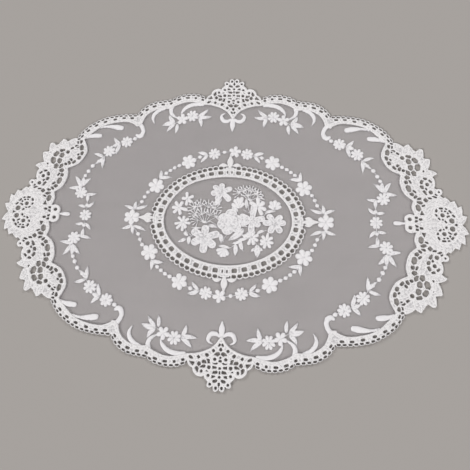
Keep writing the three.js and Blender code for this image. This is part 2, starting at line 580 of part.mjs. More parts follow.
/** The openwork border with its picots, crests and lace ends. */
function laceBorder() {
  const outside = fourfold([
    place(CREST_TOP),
    ...CREST_ROUNDS.flatMap(arcPoints),
    ...PICOT_SCALLOPS.flatMap(picotPoints),
    ...LOBE_LEAVES.flatMap(valleyAndTip),
    ...LOBE_ROUNDS.flatMap(arcPoints),
    ...FAN_LEAVES.flatMap(valleyAndTip),
    place(FAN_MIDDLE),
  ]);
  const slots = LADDER_ROW.map((row) => ({ ...LADDER_SLOT, ...row, corners: 4 }));
  const gaps = [...END_GAPS, ...CREST_GAPS, ...slots];
  const middle = plate(netSide, -CUT_MARGIN, LACE_THICKNESS + CUT_MARGIN);
  const blank = plate(outside, 0, LACE_THICKNESS).subtract(middle);
  const leaves = mirrored(END_LEAVES, (row) => leaf(row, LACE_THICKNESS, BAND_RISE));
  return blank.add(leaves).subtract(mirrored(gaps, gap));
}

/** The net ground with its sprays, garlands and satin scrolls. */
function netGround() {
  const edge = inset(netSide, SEAM_GAP);
  const opening = inset(ringOutside, -SEAM_GAP);
  const cutOut = (top) => plate(edge, 0, top).subtract(plate(opening, -CUT_MARGIN, top + CUT_MARGIN));
  const motifs = joined([
    mirrored(NET_BANDS, (row) => band(row.points, NET_THICKNESS, SATIN_RISE)),
    mirrored(NET_LEAVES, (row) => leaf(row, NET_THICKNESS, SATIN_RISE)),
    mirrored(NET_FLOWERS, (row) => bloom(row, NET_THICKNESS, SATIN_RISE)),
    mirrored(NET_BEADS, (row) => bloom({ ...row, shape: BEAD_CORNER }, NET_THICKNESS, SATIN_RISE)),
  ]);
  return cutOut(NET_THICKNESS).add(motifs.intersect(cutOut(NET_THICKNESS + SATIN_RISE + CUT_MARGIN)));
}

/** The openwork ring with its row of square holes. */
function medallionRing() {
  const holes = RING_HOLES.map((degrees) => {
    const angle = THREE.MathUtils.degToRad(degrees);
    const { x, y } = ellipse(RING_LADDER, angle);
    const along = Math.atan2(RING_LADDER.y * Math.cos(angle), -RING_LADDER.x * Math.sin(angle));
    return { ...SQUARE_HOLE, x, y, turn: THREE.MathUtils.radToDeg(along), corners: 4 };
  });
  const blank = plate(ringOutside, 0, LACE_THICKNESS);
  const middle = plate(ringInside, -CUT_MARGIN, LACE_THICKNESS + CUT_MARGIN);
  return blank.subtract(middle).subtract(mirrored(holes, gap));
}

/** The net oval inside the ring, with the bouquet. */
function medallionNet() {
  const oval = plate(inset(ringInside, SEAM_GAP), 0, NET_THICKNESS);
  const flowers = BOUQUET_FLOWERS.map((row) => bloom(row, NET_THICKNESS, SATIN_RISE));
  const leaves = BOUQUET_LEAVES.map((row) => leaf(row, NET_THICKNESS, SATIN_RISE));
  return oval.add(joined([...flowers, ...leaves].map((motif) => solid(laid(motif)))));
}

const group = new THREE.Group();
group.add(piece('net_ground', netGround(), NET_COTTON));
group.add(piece('lace_border', laceBorder(), SATIN_COTTON));
group.add(piece('medallion_ring', medallionRing(), SATIN_COTTON));
group.add(piece('medallion_net', medallionNet(), NET_COTTON));

export default group;
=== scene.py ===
"""An oval net lace doily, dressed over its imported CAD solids.

The layout tables are in millimetres, with the doily's middle at the origin, X along its
length and Y across it. They hold one quarter, which is mirrored into the other three;
the bouquet alone is laid out whole. Each piece of lace or satin stitch is a relief: two
numbers at each node of a fine grid, the distance inside the cloth's edge and the height
of the stitching. The edge of the mesh follows the line where that distance is nought.
"""

import logging
import math
from dataclasses import dataclass, field
from enum import Enum
from typing import Iterable, NamedTuple, Sequence

import bpy
import numpy as np
from mathutils import Euler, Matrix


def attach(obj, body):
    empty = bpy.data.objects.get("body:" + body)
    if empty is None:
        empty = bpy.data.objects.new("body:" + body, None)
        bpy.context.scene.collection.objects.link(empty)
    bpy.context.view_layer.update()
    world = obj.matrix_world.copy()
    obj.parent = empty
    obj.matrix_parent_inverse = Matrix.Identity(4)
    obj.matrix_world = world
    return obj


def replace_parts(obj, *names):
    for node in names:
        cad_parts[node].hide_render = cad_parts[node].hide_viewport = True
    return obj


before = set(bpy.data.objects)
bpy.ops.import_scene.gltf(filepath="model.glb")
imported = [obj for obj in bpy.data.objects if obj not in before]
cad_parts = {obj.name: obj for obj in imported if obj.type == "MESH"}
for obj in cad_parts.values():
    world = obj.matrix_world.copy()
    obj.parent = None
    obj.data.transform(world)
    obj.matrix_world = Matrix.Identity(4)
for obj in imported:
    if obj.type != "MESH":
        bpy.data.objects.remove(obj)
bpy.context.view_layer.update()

log = logging.getLogger("doily")

Array = np.ndarray
Points = Sequence[Sequence[float]]
Material, Object = bpy.types.Material, bpy.types.Object
Node, Socket = bpy.types.Node, bpy.types.NodeSocket

MM = 0.001
TINY = 1e-9  # least length of a direction

# Grids and samples
FAR = 9.0  # distance inside the edge, negated, of a node that no cloth comes near
PITCH = 0.59  # of the grids of lace and satin stitch
NET_STEP = 4  # nodes of the fine grid to one of the net's
SNAP = 0.1  # share of the pitch within which the edge never comes to a node
CURVE_STEP = 0.5  # along a band's middle line
CORD_STEP = 0.3  # the same, for thin cords
OUTLINE_STEP = 1.0  # along the outline under the picots
NET_SIDE_STEP = 0.8  # along the border's edge on the net's side
SAMPLES = 24  # of a spline between two of its points
OVAL_SAMPLES = 400  # of a quarter of an oval
SIDE_SAMPLES = 5  # of a bowed side between two corners
SWEEP = 24  # samples of a path that are swept together
FILL_REACH = 4.0  # from an outline's sides, how far their distance is worked out
CUT_REACH = 2.5  # the same, from the end of an opening
PAST_AXIS = 6.0  # how far an outline runs past an axis, where its mirror image joins it

# Stitched forms; a share is of the form's full height or width
THINNEST = 0.1  # least half width in a form's height
RIM_IN = 0.9  # from a rimmed form's edge to the top of its rim
RIM_WIDTH = 0.6  # over which the rim falls away
RIM_RISE = 0.58  # share by which the rim stands over the form's plain middle
RIMMED_PLAIN = 0.42  # share to which that middle rises
FINE_VEIN, FINE_VEIN_WIDTH = 0.16, 0.45  # share and width of its raised vein
VEIN, VEIN_WIDTH = 0.55, 0.5  # share and width of a leaf's groove
CREASE = 1.1  # width of the crease between two petals
CREASE_LOW = 0.3  # share that is left of the height there
LEAF_FULL = 1.15  # width of a stitched leaf as a share of its layout's
LEAF_EARLY, LEAF_BLUNT = 0.75, 0.95  # powers that shape a leaf's half width
LEAST_HALF = 0.3  # half width of a leaf at its ends
PETAL_FIT = 0.66  # share of a flower's radius at which its petals are widest
PETAL_WIDEST = 0.34  # and the most of its radius that a petal's half width may be
PETAL_FROM = 0.1  # from the middle of a flower to where its petals start
PETAL_ROOT, PETAL_EARLY = 0.5, 0.8  # share of its width at a petal's root, and a power
BEAD_HALF = 0.2  # half length of the short stroke that makes a bead
EDGE_CORD, EDGE_CORD_WIDTH = 0.35, 0.7  # height and width of the cord along every edge
PLAIN_LACE = 0.12  # height of the lace's stitches elsewhere
BAR = 1.2  # width of the bar between two openings that would meet
BULGE = {2: 1.25, 4: 3.4}  # superellipse power of an opening, by its number of corners
POLYGON_ROUND = 0.08  # how far other openings go from a polygon towards a circle
SIDE_BOW = 0.07  # bow of a leaf's side, as a share of its length
THREAD_WAY = (0.8, 0.6)  # direction in which the threads of plain ground follow one another

# The cloth's lie
LIE_X, LIE_Y = 0.25, 0.5  # where the cloth's middle lies
NARROWED = 0.0033  # share by which the cloth is shorter than its layout
DRAWN_IN = 5.8  # how far the far side is drawn in
DRAWN_X, DRAWN_WIDE = -25.0, 183.0  # middle and reach of that part along the cloth
DRAWN_LOW, DRAWN_HIGH = 45.0, 95.0  # where it is drawn in fully
DRAWN_NEAR, DRAWN_FAR = 48.0, 95.0  # reach from there inwards and outwards
KEPT_OUT = 5.0  # how far the far part of the medallion is kept out of that
KEPT_X, KEPT_WIDE = -12.0, 58.0  # middle and reach of that part along the cloth
KEPT_Y, KEPT_DEEP = 38.0, 20.0  # and across it
WAVE = 0.32  # the most that a slow wave moves the cloth along or across
LIFT = 0.125  # half the most that it is lifted


# ---- Rows of the layout -----------------------------------------------------------


class Leaf(NamedTuple):
    """A pointed leaf from its base to its tip; bend is sideways, as a share of its length."""

    x: float
    y: float
    tip_x: float
    tip_y: float
    width: float
    bend: float = 0.0


class Bloom(NamedTuple):
    """A flower with petals of its own: middle, a petal's half width, each one's angle and reach."""

    x: float
    y: float
    half: float
    petals: tuple[tuple[float, float], ...]


class Flower(NamedTuple):
    """A flower: middle, radius, number of petals, direction of the first, petal width share."""

    x: float
    y: float
    radius: float
    petals: int
    turn: float
    full: float = 0.9

    def bloom(self) -> Bloom:
        """Its petals one by one.

        A petal is as wide as fits where the petals are widest, times the width share.

        Returns:
            The same flower with a row for each petal.
        """
        fit = PETAL_FIT * self.radius * math.tan(math.pi / max(self.petals, 5))
        half = min(fit * self.full, self.radius * PETAL_WIDEST)
        angles = [self.turn + 360 * petal / self.petals for petal in range(self.petals)]
        return Bloom(self.x, self.y, half, tuple((angle, self.radius) for angle in angles))


class Disc(NamedTuple):
    """A round bead or ring by its middle and radius; width is that of a ring's cord."""

    x: float
    y: float
    radius: float
    width: float = 0.0


class Hole(NamedTuple):
    """An opening: middle, size along and across, turn in degrees, number of corners."""

    x: float
    y: float
    long: float
    wide: float
    turn: float = 0.0
    corners: int = 4

    def grown(self, by: float) -> "Hole":
        """The same opening, longer and wider."""
        return self._replace(long=self.long + by, wide=self.wide + by)


class Spray(NamedTuple):
    """Tufts of thread on one foot: the foot, a tuft's reach, and each tuft's place and heading."""

    x: float
    y: float
    reach: float
    tufts: tuple[tuple[float, float, float], ...]


class Wave(NamedTuple):
    """A slow sine wave of place: the distance over which its angle grows by one, and its start."""

    reach: float
    start: float

    def angle(self, place: Array) -> Array:
        """Its angle at each place."""
        return place / self.reach + self.start


class Profile(Enum):
    """How a stitched form is raised across its width."""

    DOME = "rounded from edge to edge"
    VEINED = "rounded, with a groove along the middle"
    RIMMED = "plain inside, with a raised edge and a fine vein"


def table(kind: type, rows: Sequence[tuple]) -> tuple:
    """Rows of the layout, each made an instance of its class."""
    return tuple(kind(*row) for row in rows)


# Waves of the cloth's lie: aside and along it by X and Y, and its lift
ASIDE_X, ASIDE_Y = Wave(31.0, 0.7), Wave(23.0, 0.4)
ALONG_X, ALONG_Y = Wave(37.0, 1.1), Wave(27.0, 1.9)
LIFT_X, LIFT_Y = Wave(19.0, 0.3), Wave(17.0, 1.2)

# Medallion ring: half lengths along X and Y of its ovals
RING_INNER = (82.0, 61.3)
RING_LADDER = (88.2, 68.0)
RING_CORD = (92.6, 71.6)
RING_LOOPS = (97.0, 75.2)
RING_EDGE = 100.0  # outermost along X
RING_HOLES = (9.5, 19.6, 29.2, 38.6, 48.0, 57.0, 65.7, 74.0, 82.2)
LOOP_PITCH = 7.4
FIRST_LOOP = 11.7
LOOP_COUNT = 16

RING_SLOTS = table(Hole, (
    (2.9, 68.3, 1.6, 3.5), (6.8, 75.4, 2, 2.4), (87.4, 4.2, 3.5, 1.8), (97, 6.8, 2.4, 2),
))

# Picots of the border's edge
PICOT_PITCH = 6.5
PICOT_INSET = 2.1

# Edge of the border on the net's side, from the crest's point to the end rings: each run
# has the width of the satin band along it
NET_SIDE = (
    (3.0, ((0, 145.2), (2.6, 148.4), (5.6, 153), (8.9, 156.5), (12, 159), (16.8, 161.4),
           (23, 163.8),
           (30.8, 165.7), (38, 166.2))),
    (5.0, ((38, 166.2), (60, 170.6), (76, 166.6), (88, 159.8))),
    (5.0, ((88, 159.8), (106, 158.8), (120, 150), (126, 137))),
    (5.0, ((126, 137), (131.5, 133))),
    (5.0, ((131.5, 133), (150, 139), (180, 131.3), (204, 109.5))),
    (5.2, ((204, 109.5), (197.5, 92), (206, 74), (221, 65.5))),
    (5.0, ((221, 65.5), (219.3, 54), (224, 39), (234, 30.2))),
    (4.6, ((234, 30.2), (231.6, 21), (234.5, 10.8))),
    (0.0, ((234.5, 10.8), (228, 12.4), (221.6, 7), (222.2, 0))),
)
# Outer edge, clockwise from the Y axis
CREST_TOP = (0.0, 200.6)
CREST_ARCS = (  # middle, radius, from and to angle
    (3.8, 203.5, 3.2, 215, -35),
    (11.3, 199.6, 3.1, 165, -60),
    (13.4, 190.0, 4.7, 65, -30),
    (23.4, 183.3, 7.3, 120, 0),
    (30.4, 173.8, 8.4, 65, 0),
)
PICOT_RUNS = (
    ((40, 178.6), (50, 182.2), (60, 183), (70, 181.8), (80, 178.8), (87, 174.2)),
    ((87, 174.2), (98, 172.6), (110, 170.6), (121, 165.5), (129, 158.5), (134, 151)),
    ((134, 151), (148, 150.4), (163, 148.6), (178, 144.6), (192, 137), (205, 126.5), (215, 112.5)),
)
LOBE_LEAVES = (  # the valley before each pointed leaf, and its tip
    ((213.2, 110.9), (221, 109)),
    ((228, 103.2), (233.2, 107.7)),
    ((240.8, 97.8), (251.2, 100.8)),
    ((251.6, 88.5), (259.9, 87)),
    ((256, 72.5), (266.8, 67.8)),
)
LOBE_ARCS = ((253.6, 54.0, 9.6, 50, -38), (267.0, 42.5, 4.5, 125, -85))
FAN_LEAVES = (
    ((272, 34.2), (273.9, 35.6)),
    ((280, 29), (284.4, 30.5)),
    ((288, 22.4), (292.6, 24.2)),
    ((292.6, 12.4), (298.4, 11.2)),
)
FAN_MIDDLE = (291.8, 0.0)

END_HOLES = table(Hole, (
    (206, 96.5, 8, 5, 80, 5), (204.6, 88.2, 5.5, 3, 112), (207.4, 81.8, 5, 3.4, 110),
    (208.6, 105.2, 4, 3.2, 110), (212, 104.2, 4, 1.8, 80), (211.9, 109.2, 3, 2, -40),
    (213.6, 98.9, 4.4, 2, -30), (211.9, 97.2, 2.2, 1.6), (219, 95.2, 3.6, 1.6, -35),
    (209.1, 86, 2.4, 1.9, -30), (218.4, 77.9, 3.2, 2.2, 45), (213.8, 74.9, 4.6, 2.4, -45),
    (220.4, 73.4, 4.5, 3, 65), (225, 71.4, 3.6, 2.8, 10, 5), (231, 67.8, 7.5, 4, 115, 5),
    (229.4, 61.8, 6, 5.5, 30, 5), (227.6, 55.2, 4.4, 4, 60, 6), (232.2, 56, 4.2, 1.5, 120),
    (230, 46.5, 9, 5.4, 110, 6), (236.8, 42.7, 4.2, 1.6, -35), (233.4, 38.9, 5.5, 4.2, 140, 5),
    (237.4, 35.4, 4, 2.4, 35), (241.8, 32.9, 4.4, 1.8, 20), (224.6, 89, 5.2, 5.2, 0, 12),
    (233, 91, 7.6, 3.4, -15, 5), (240.4, 85.6, 8.6, 5, 130, 6), (243.4, 76, 9.4, 6, 75, 6),
    (238, 67.6, 7, 5.4, 100, 5), (234.4, 75.6, 7.2, 5.4, 95, 6), (232.4, 83.8, 7, 5.4, 110, 6),
    (248.5, 82.8, 1.5, 1.3), (250.3, 70.8, 1.5, 1.3), (253.5, 52.5, 4.4, 4.4, 0, 12),
    (246.8, 55.8, 5.4, 2.5, 65), (251.6, 60.2, 4.4, 1.8, -5), (257.3, 57.2, 4.2, 1.5, -42),
    (246.8, 48.6, 6.5, 3.2, 118, 5), (251.8, 46.2, 2.4, 1.5, 120), (249.8, 41.8, 6.5, 2.4, 125),
    (257, 42, 4.8, 4.8, 0, 12), (267.2, 42.2, 2.1, 2.1, 0, 12), (263.2, 38.8, 2.2, 1.6, -10),
    (260.8, 36.3, 5, 1.6, -25), (254.8, 33.9, 4, 1.2, -5), (250, 31.4, 4.2, 4, 45),
    (242.2, 27.8, 6, 3.2, -20), (246, 24, 3.6, 1.5, 15), (239.8, 21, 8, 5.4, 95, 6),
    (243.8, 13.6, 6.4, 4.6, 90, 3), (236.3, 7.6, 2.8, 2, 0), (235.8, 3.5, 3.6, 1.7, 25),
    (241.2, 5.7, 3.6, 1.8, 8), (228, 5.5, 4.2, 4.2, 0, 12),
))
FAN_HOLES = table(Hole, (
    (268.5, 12, 4.9, 4.7, 0, 12), (279.2, 5.2, 6.6, 5.8, 0, 12), (260.9, 12, 4.2, 1.9, -62),
    (261.6, 17.9, 5, 2, 62), (267.3, 20.9, 5.2, 1.8, 0), (268.1, 17.5, 2.2, 1.4, 0),
    (272.1, 17.3, 2.6, 1.7, 15), (273.3, 20.4, 3.2, 1.7, -25), (275.2, 14.9, 2, 1.8, 80),
    (278.2, 16.9, 4.2, 2, -45), (281.8, 11.8, 4.2, 2, -42), (275.4, 10.8, 4.2, 1.5, 30),
    (263.8, 7.6, 3.6, 1.7, -45), (268.4, 6.4, 1.9, 1.7, 0), (271.8, 3.6, 3, 1.9, -50),
    (284.2, 0, 4.4, 3.6, 180, 3),
))
CREST_HOLES = table(Hole, (
    (1.8, 155.6, 2.8, 1.5, 62), (0, 160.5, 3.6, 2.6, 90, 12), (8.3, 162.3, 3.2, 2.4, -45, 12),
    (3.9, 165.9, 6.6, 4.2, 20, 5), (15.7, 167.4, 4, 2.7, -40, 12), (6.5, 171.6, 2.7, 2.5, 0, 12),
    (4.6, 176.2, 6.4, 1.8, -14), (0, 173.6, 2.8, 2.8, 90, 12), (0, 169.8, 1.9, 1.6, 90, 12),
    (13.2, 174, 6, 3.4, -62), (12.4, 170, 2, 1.8, 0, 12), (18.5, 174.9, 4.9, 3.1, -12),
    (25, 170.4, 4.2, 2.2, -50), (34.4, 170.7, 4.8, 2.2, -38), (32.4, 176.9, 7, 4.6, -25, 3),
    (24.4, 177.5, 4.7, 3.8, 80, 5), (19.7, 180.1, 5.8, 2.5, 22), (12.7, 180.6, 3.4, 3, 105, 12),
    (6.8, 180.5, 5.6, 4.2, 20, 5), (0, 181.7, 2.3, 2.1, 90, 12), (26.1, 183.3, 5.6, 3.2, -55),
    (21.5, 185.2, 2.8, 2.3, 80, 12), (15.1, 185.1, 2.3, 2.1, 0, 12), (5.3, 186.2, 6, 3.4, 22, 5),
    (0, 185.9, 3, 1.3, 90), (7.7, 190.5, 5.4, 2.4, 34), (0, 191, 2.9, 2.3, 90, 12),
    (13, 189.6, 2.3, 2.3, 45, 12), (4.6, 195.2, 5.4, 2.6, 18), (0, 198.6, 3.2, 1.8, 90),
    (10.1, 198.5, 3, 2.3, 40, 12), (3.4, 202.3, 3.4, 2, 90, 12),
))
LADDER_HOLES = table(Hole, (
    (43.6, 174, 3.2, 2.6, 15), (53.6, 176.5, 2.8, 2.6, 8), (64.8, 176.8, 5, 2.4, 0),
    (76.8, 174.2, 5, 2.6, -22), (87.6, 168.3, 3.6, 2.6, -40), (99, 166.5, 4.4, 2.6, -5),
    (111, 163.4, 5.2, 2.8, -18), (121, 158, 4.6, 2.8, -30), (128.4, 150.6, 4.2, 2.6, -50),
    (141, 145, 4.6, 2.6, 0), (152.5, 144.8, 4.6, 2.6, -5), (165, 142, 4.6, 2.6, -18),
    (178.5, 137.6, 4.6, 2.6, -22), (190.5, 131.4, 4.6, 2.6, -32), (200.6, 122.8, 4.6, 2.6, -42),
    (208.4, 113.6, 4.6, 2.6, -55),
))
# Cords of the border: middle lines with the width at each point
BORDER_CORDS = (
    ((0.8, 157.2, 1.8), (4.2, 161.6, 2), (9.6, 166.6, 2), (14.4, 170.4, 2), (20.8, 170.2, 2),
     (26, 173.2, 2), (32, 173.6, 2.2), (38, 172.6, 2.2)),
    ((31, 180.6, 2.4), (30, 185, 3), (26.4, 188.8, 3), (21.4, 189.8, 3.2), (17.6, 187.6, 3),
     (17.2, 184, 2.4), (20, 182.4, 2.2), (23.4, 183, 2), (24.2, 185.6, 1.8)),
    ((0.8, 175.4, 1.8), (4, 178.3, 2), (8.6, 177.8, 2), (11, 174.6, 2), (10.8, 170.4, 1.8)),
    ((0.8, 183.6, 1.8), (4.4, 182.9, 2), (9.2, 183.5, 2), (13, 186.4, 2), (17.4, 186, 2)),
    ((1.4, 189.2, 1.8), (4.6, 188.6, 2), (9, 188, 2), (11.8, 186, 1.8)),
    ((0.8, 193, 1.8), (3.6, 192.4, 2), (8, 193.2, 2), (12, 192.8, 2)),
    ((0.8, 193.6, 1.8), (1.8, 196.4, 2), (5, 198.4, 2), (8.2, 197.4, 2), (9.4, 195.4, 1.8)),
    ((256, 63.6, 2.4), (260.6, 60.4, 3.2), (262, 54.6, 3.2), (260.6, 49, 3), (256, 46.4, 2.4)),
    ((236.4, 94.4, 2), (243.8, 89.6, 2.6), (249, 80, 3), (248.4, 71.4, 2.6), (242.6, 64.6, 2)),
    ((257.6, 9, 2), (258, 17, 2.2), (262, 22.6, 2.2), (268, 24, 2.2), (274.6, 23.2, 2.2),
     (280.4, 20, 2.2), (284.4, 14.8, 2.2), (286.6, 8.6, 2)),
)
# Its leaves, plain inside with a raised edge
BORDER_LEAVES = (
    ((211, 104, 3), (216, 105.8, 8), (221.4, 105.2, 5), (226, 104.4, 2)),
    ((231, 93, 2), (236, 96.4, 6), (240, 98.4, 3)),
    ((226, 94, 3), (229, 98.6, 9), (231.4, 103.4, 7.8), (233, 106.4, 4)),
    ((243, 85.6, 2), (245.4, 91, 8.4), (247.2, 96, 9.4), (248.4, 98.6, 7)),
    ((250.6, 73.4, 3), (253.2, 79, 8.6), (255.4, 83.6, 8), (257, 85.8, 5)),
    ((242.6, 66, 4), (251, 68, 10), (259, 68.2, 7.8), (264, 67.6, 4.4), (265.6, 67.4, 2.6)),
    ((206.4, 92.6, 2), (212, 88.4, 9), (219, 83.4, 12), (225.6, 77.6, 9), (231.4, 71.6, 2.6)),
    ((232.6, 67.6, 2.4), (236.6, 60, 8.4), (240, 51.6, 10), (243.6, 43.8, 8.6), (249, 37, 4.6),
     (256, 34, 1.6)),
    ((243.4, 3.6, 3), (250, 7.4, 7), (256, 13.4, 7), (257.8, 20.8, 4)),
    ((242.8, 9.6, 3), (249, 14.8, 7), (254.4, 21.8, 7.6), (261.6, 26.4, 5)),
    ((243.6, 17.6, 3), (249, 24, 7.6), (257, 29.4, 7), (266, 32.4, 4)),
    ((264, 26.6, 3), (270.4, 29, 8), (273, 32.6, 5), (274, 35.4, 1.2)),
    ((275.6, 21.8, 3), (280.6, 25, 8), (283.2, 28, 5), (284.4, 30.8, 1.2)),
    ((284, 12.4, 3), (287.6, 17, 8), (290, 20.8, 4.6), (292.4, 24.2, 1.2)),
    ((287, 5, 3), (291.2, 8, 6), (294.8, 9.8, 3.8), (298, 11, 1)),
    ((286.6, 5.4, 3), (288.4, 2.6, 5), (288.8, 0, 5)),
    ((242, 0, 3), (252, 0, 7.6), (263, 0, 7), (273.6, 0, 1.6)),
)
BORDER_RINGS = table(Disc, (
    (3.5, 202.8, 2.7, 1.7), (10.6, 199, 2.6, 1.8), (13, 189.8, 3, 2.2), (12.7, 180.6, 3.3, 1.9),
    (6.5, 171.6, 3.2, 2.2), (224.6, 89, 3.6, 2), (253.5, 52.5, 3.6, 2.4), (257, 42, 4, 2.8),
    (267, 42.5, 2.8, 3), (228, 5.5, 4.5, 4.4), (268.5, 12, 3.7, 2.2), (279.2, 5.2, 4.2, 1.8),
))

# Satin bands on the net: middle line with the width at each point
NET_BANDS = (
    ((43, 167.6, 5.6), (55, 167, 5.8), (64, 163.6, 5.8), (70, 157.6, 4.4), (72.6, 151.6, 1)),
    ((86, 164, 7), (87, 157.5, 6), (84.8, 152, 5), (78.4, 147.6, 2.6), (71.6, 146.6, 1.4)),
    ((97, 161.6, 6), (105, 157, 5.6), (110.4, 151, 5.6), (111.4, 144.6, 4.2), (108.2, 137.6, 1)),
    ((130.5, 138, 7), (125.4, 132, 6), (123.2, 125.5, 6), (124.6, 120.4, 6.6)),
    ((124.6, 120.4, 6.6), (128, 118.4, 6.4), (131.8, 120, 4)),
    ((184, 129.6, 4), (175, 131, 3.8), (167, 131.2, 6.2), (159.5, 130.4, 8), (154.6, 129.8, 7)),
    ((205, 112.6, 5), (196.5, 114.8, 5.4), (190, 116, 7), (183.6, 116.6, 6.4)),
    ((2.4, 146, 3), (7, 143, 5.2), (12.5, 143.6, 5.8), (15.6, 148.4, 5), (14.8, 152.2, 3.2),
     (10.4, 154.6, 1.3)),
    ((0, 152, 3), (0, 146.4, 4), (0, 138.6, 7.6), (0, 131.6, 4), (0, 127.8, 0.8)),
    ((223, 0, 2.6), (219, 0, 3.4), (214.4, 0, 5.6), (210.4, 0, 5.6)),
)
RING_BANDS = (
    ((4, 78, 2), (9.2, 79.2, 5.4), (14.8, 78, 1.2)),
    ((0, 76, 4), (0, 83, 8.6), (0, 88.6, 5), (0, 94.6, 0.8)),
    ((99, 4.6, 2), (103.4, 5, 4.6), (108.6, 3, 1)),
    ((98, 0, 4), (105, 0, 8.4), (111, 0, 5), (118, 0, 0.8)),
)
OUTER_LEAVES = table(Leaf, (
    (48.5, 149, 34, 161, 5, 0.06), (48, 148.6, 28, 149.6, 5, 0.05),
    (47, 148, 42.6, 133.6, 5, -0.08), (79.6, 140, 89.2, 152, 5.4, -0.1),
    (79, 138.6, 98, 134.6, 6.4, 0.08), (79.6, 137.6, 90.6, 125, 4.4, 0.06),
    (76.4, 138.4, 78, 123.6, 4.6, -0.06), (153, 105, 163.8, 115.4, 4.8, -0.06),
    (153, 104.4, 157.2, 89, 4.8, 0.06), (153, 106.4, 165, 100.6, 4.4, 0.05),
    (173.4, 84.6, 189.6, 89.2, 4.4, 0.06), (172.4, 85, 173, 67.6, 4.6, 0.06),
    (173.6, 84, 185.4, 73.4, 4.4, -0.06), (198, 40.4, 185.6, 53.6, 5, -0.08),
    (197.6, 40.6, 197.4, 56, 5.4, 0.04), (200, 40.4, 209.6, 55.4, 5, 0.08),
    (199.6, 40.4, 216.4, 37.6, 4.6, -0.06), (190.6, 30, 174.6, 32.6, 4.2, 0.06),
    (187, 30, 186.8, 18.4, 4.6, 0.04), (186, 11.4, 177.4, 20.6, 4, 0.05),
    (188, 11.6, 199.6, 13, 4, 0.05),
))
OUTER_FLOWERS = table(Flower, (
    (56, 150, 8.6, 8, 22, 0.95), (69.6, 145, 8.4, 5, 90, 0.8), (144.4, 109.4, 8.6, 8, 0, 0.95),
    (167, 94.2, 8.8, 8, 20, 0.95), (197.4, 32, 8.8, 8, 28, 0.95), (187, 0, 8.4, 8, 22.5, 0.95),
))
OUTER_BEADS = table(Disc, (
    (133.6, 114.6, 2.8), (179.4, 78.4, 2.4), (187, 71, 2.8), (191.6, 63, 2.8), (195, 56.4, 2.6),
    (187, 14.6, 2.4),
))
OUTER_CORDS = (
    ((44, 148), (56, 150), (69.6, 145), (79, 139)),
    ((127, 118.6), (133.6, 114.6), (144.4, 109.4), (153, 105.4), (167, 94.2), (173.4, 84.8),
     (179.4, 78.4), (187, 71), (191.6, 63), (195, 56.4), (198.6, 46), (199, 40), (197.4, 32),
     (189, 27), (187, 14.6), (187, 0)),
)
WREATH_LEAVES = table(Leaf, (
    (31, 93.4, 45.6, 97, 5, 0.06), (31, 92, 40.6, 81.4, 4, 0.06), (93.4, 58, 77, 59.8, 4.6, -0.05),
    (93.4, 57, 93, 71, 4.4, 0.06), (122.4, 12.6, 104, 19.6, 4.4, 0.06),
    (122.4, 12, 120.6, 25, 4.2, -0.05), (123, 11.4, 137.6, 17, 4.6, 0.06),
))
WREATH_FLOWERS = table(Flower, (
    (22, 95.4, 8.4, 8, 8, 0.95), (56, 83, 10.6, 6, 38), (97, 47.4, 11, 6, 12), (125, 0, 11, 6, 90),
))
WREATH_BEADS = table(Disc, (
    (41.6, 90.4, 2.6), (68.6, 77.2, 2.7), (74.8, 74, 2.6), (80.2, 70, 2.6), (85.4, 65.8, 2.6),
    (107.2, 38, 2.6), (111, 31, 2.6), (114, 23.6, 2.6),
))
# These have no mirror image
WREATH_MIDDLE = (Flower(5.4, 98.6, 8.6, 5, 82), Flower(-5, -98.6, 8.6, 5, 262))
WREATH_MIDDLE_BEADS = (Disc(-8.6, 98, 2.5), Disc(8.8, -98, 2.5))
WREATH_CORDS = (
    ((0, 99), (9, 98), (22, 95.4), (31, 92.8), (41.6, 90.4), (56, 83), (68.6, 77.2), (74.8, 74),
     (80.2, 70), (85.4, 65.8), (93.4, 57.6), (97, 47.4), (107.2, 38), (111, 31), (114, 23.6),
     (122.4, 12), (125, 0)),
)

# Bouquet of the medallion, from its lowest layer to its highest
BOUQUET_SPRAYS = (
    Spray(-29, -6, 9.6, (
        (-45, 17, 130), (-37, 20, 105), (-25, 19, 75), (-16, 17, 60),
        (-44, 7, 155), (-34, 9, 115), (-22, 8, 70), (-13, 5, 35), (-41, -2, 185),
    )),
    Spray(28, 26, 9.2, ((12, 37, 150), (19, 41, 115), (29, 42, 85), (37, 38, 50), (40, 32, 10),
                        (25, 35, 100))),
)
BOUQUET_CORDS = (
    ((60, 17), (54, 13.6), (48, 10), (44, 4)),
    ((-2, -38), (4, -39), (12, -33), (20, -28), (28, -25)),
    ((-44, -25), (-48, -21), (-52, -18), (-55, -12)),
    ((-50, -27), (-46, -25), (-44, -24)),
    ((-27, -6), (-22, -3), (-14, -8)),
    ((28, 26), (26, 18), (28, 11), (20, 14.6)),
    ((39, -35), (37, -31), (33, -26)),
    ((-12, 29), (-17, 21), (-20, 15)),
    ((50, -13), (44, -13.6), (38, -19)),
    ((12, -14), (4, -18), (-2, -24), (-3.6, -31)),
)
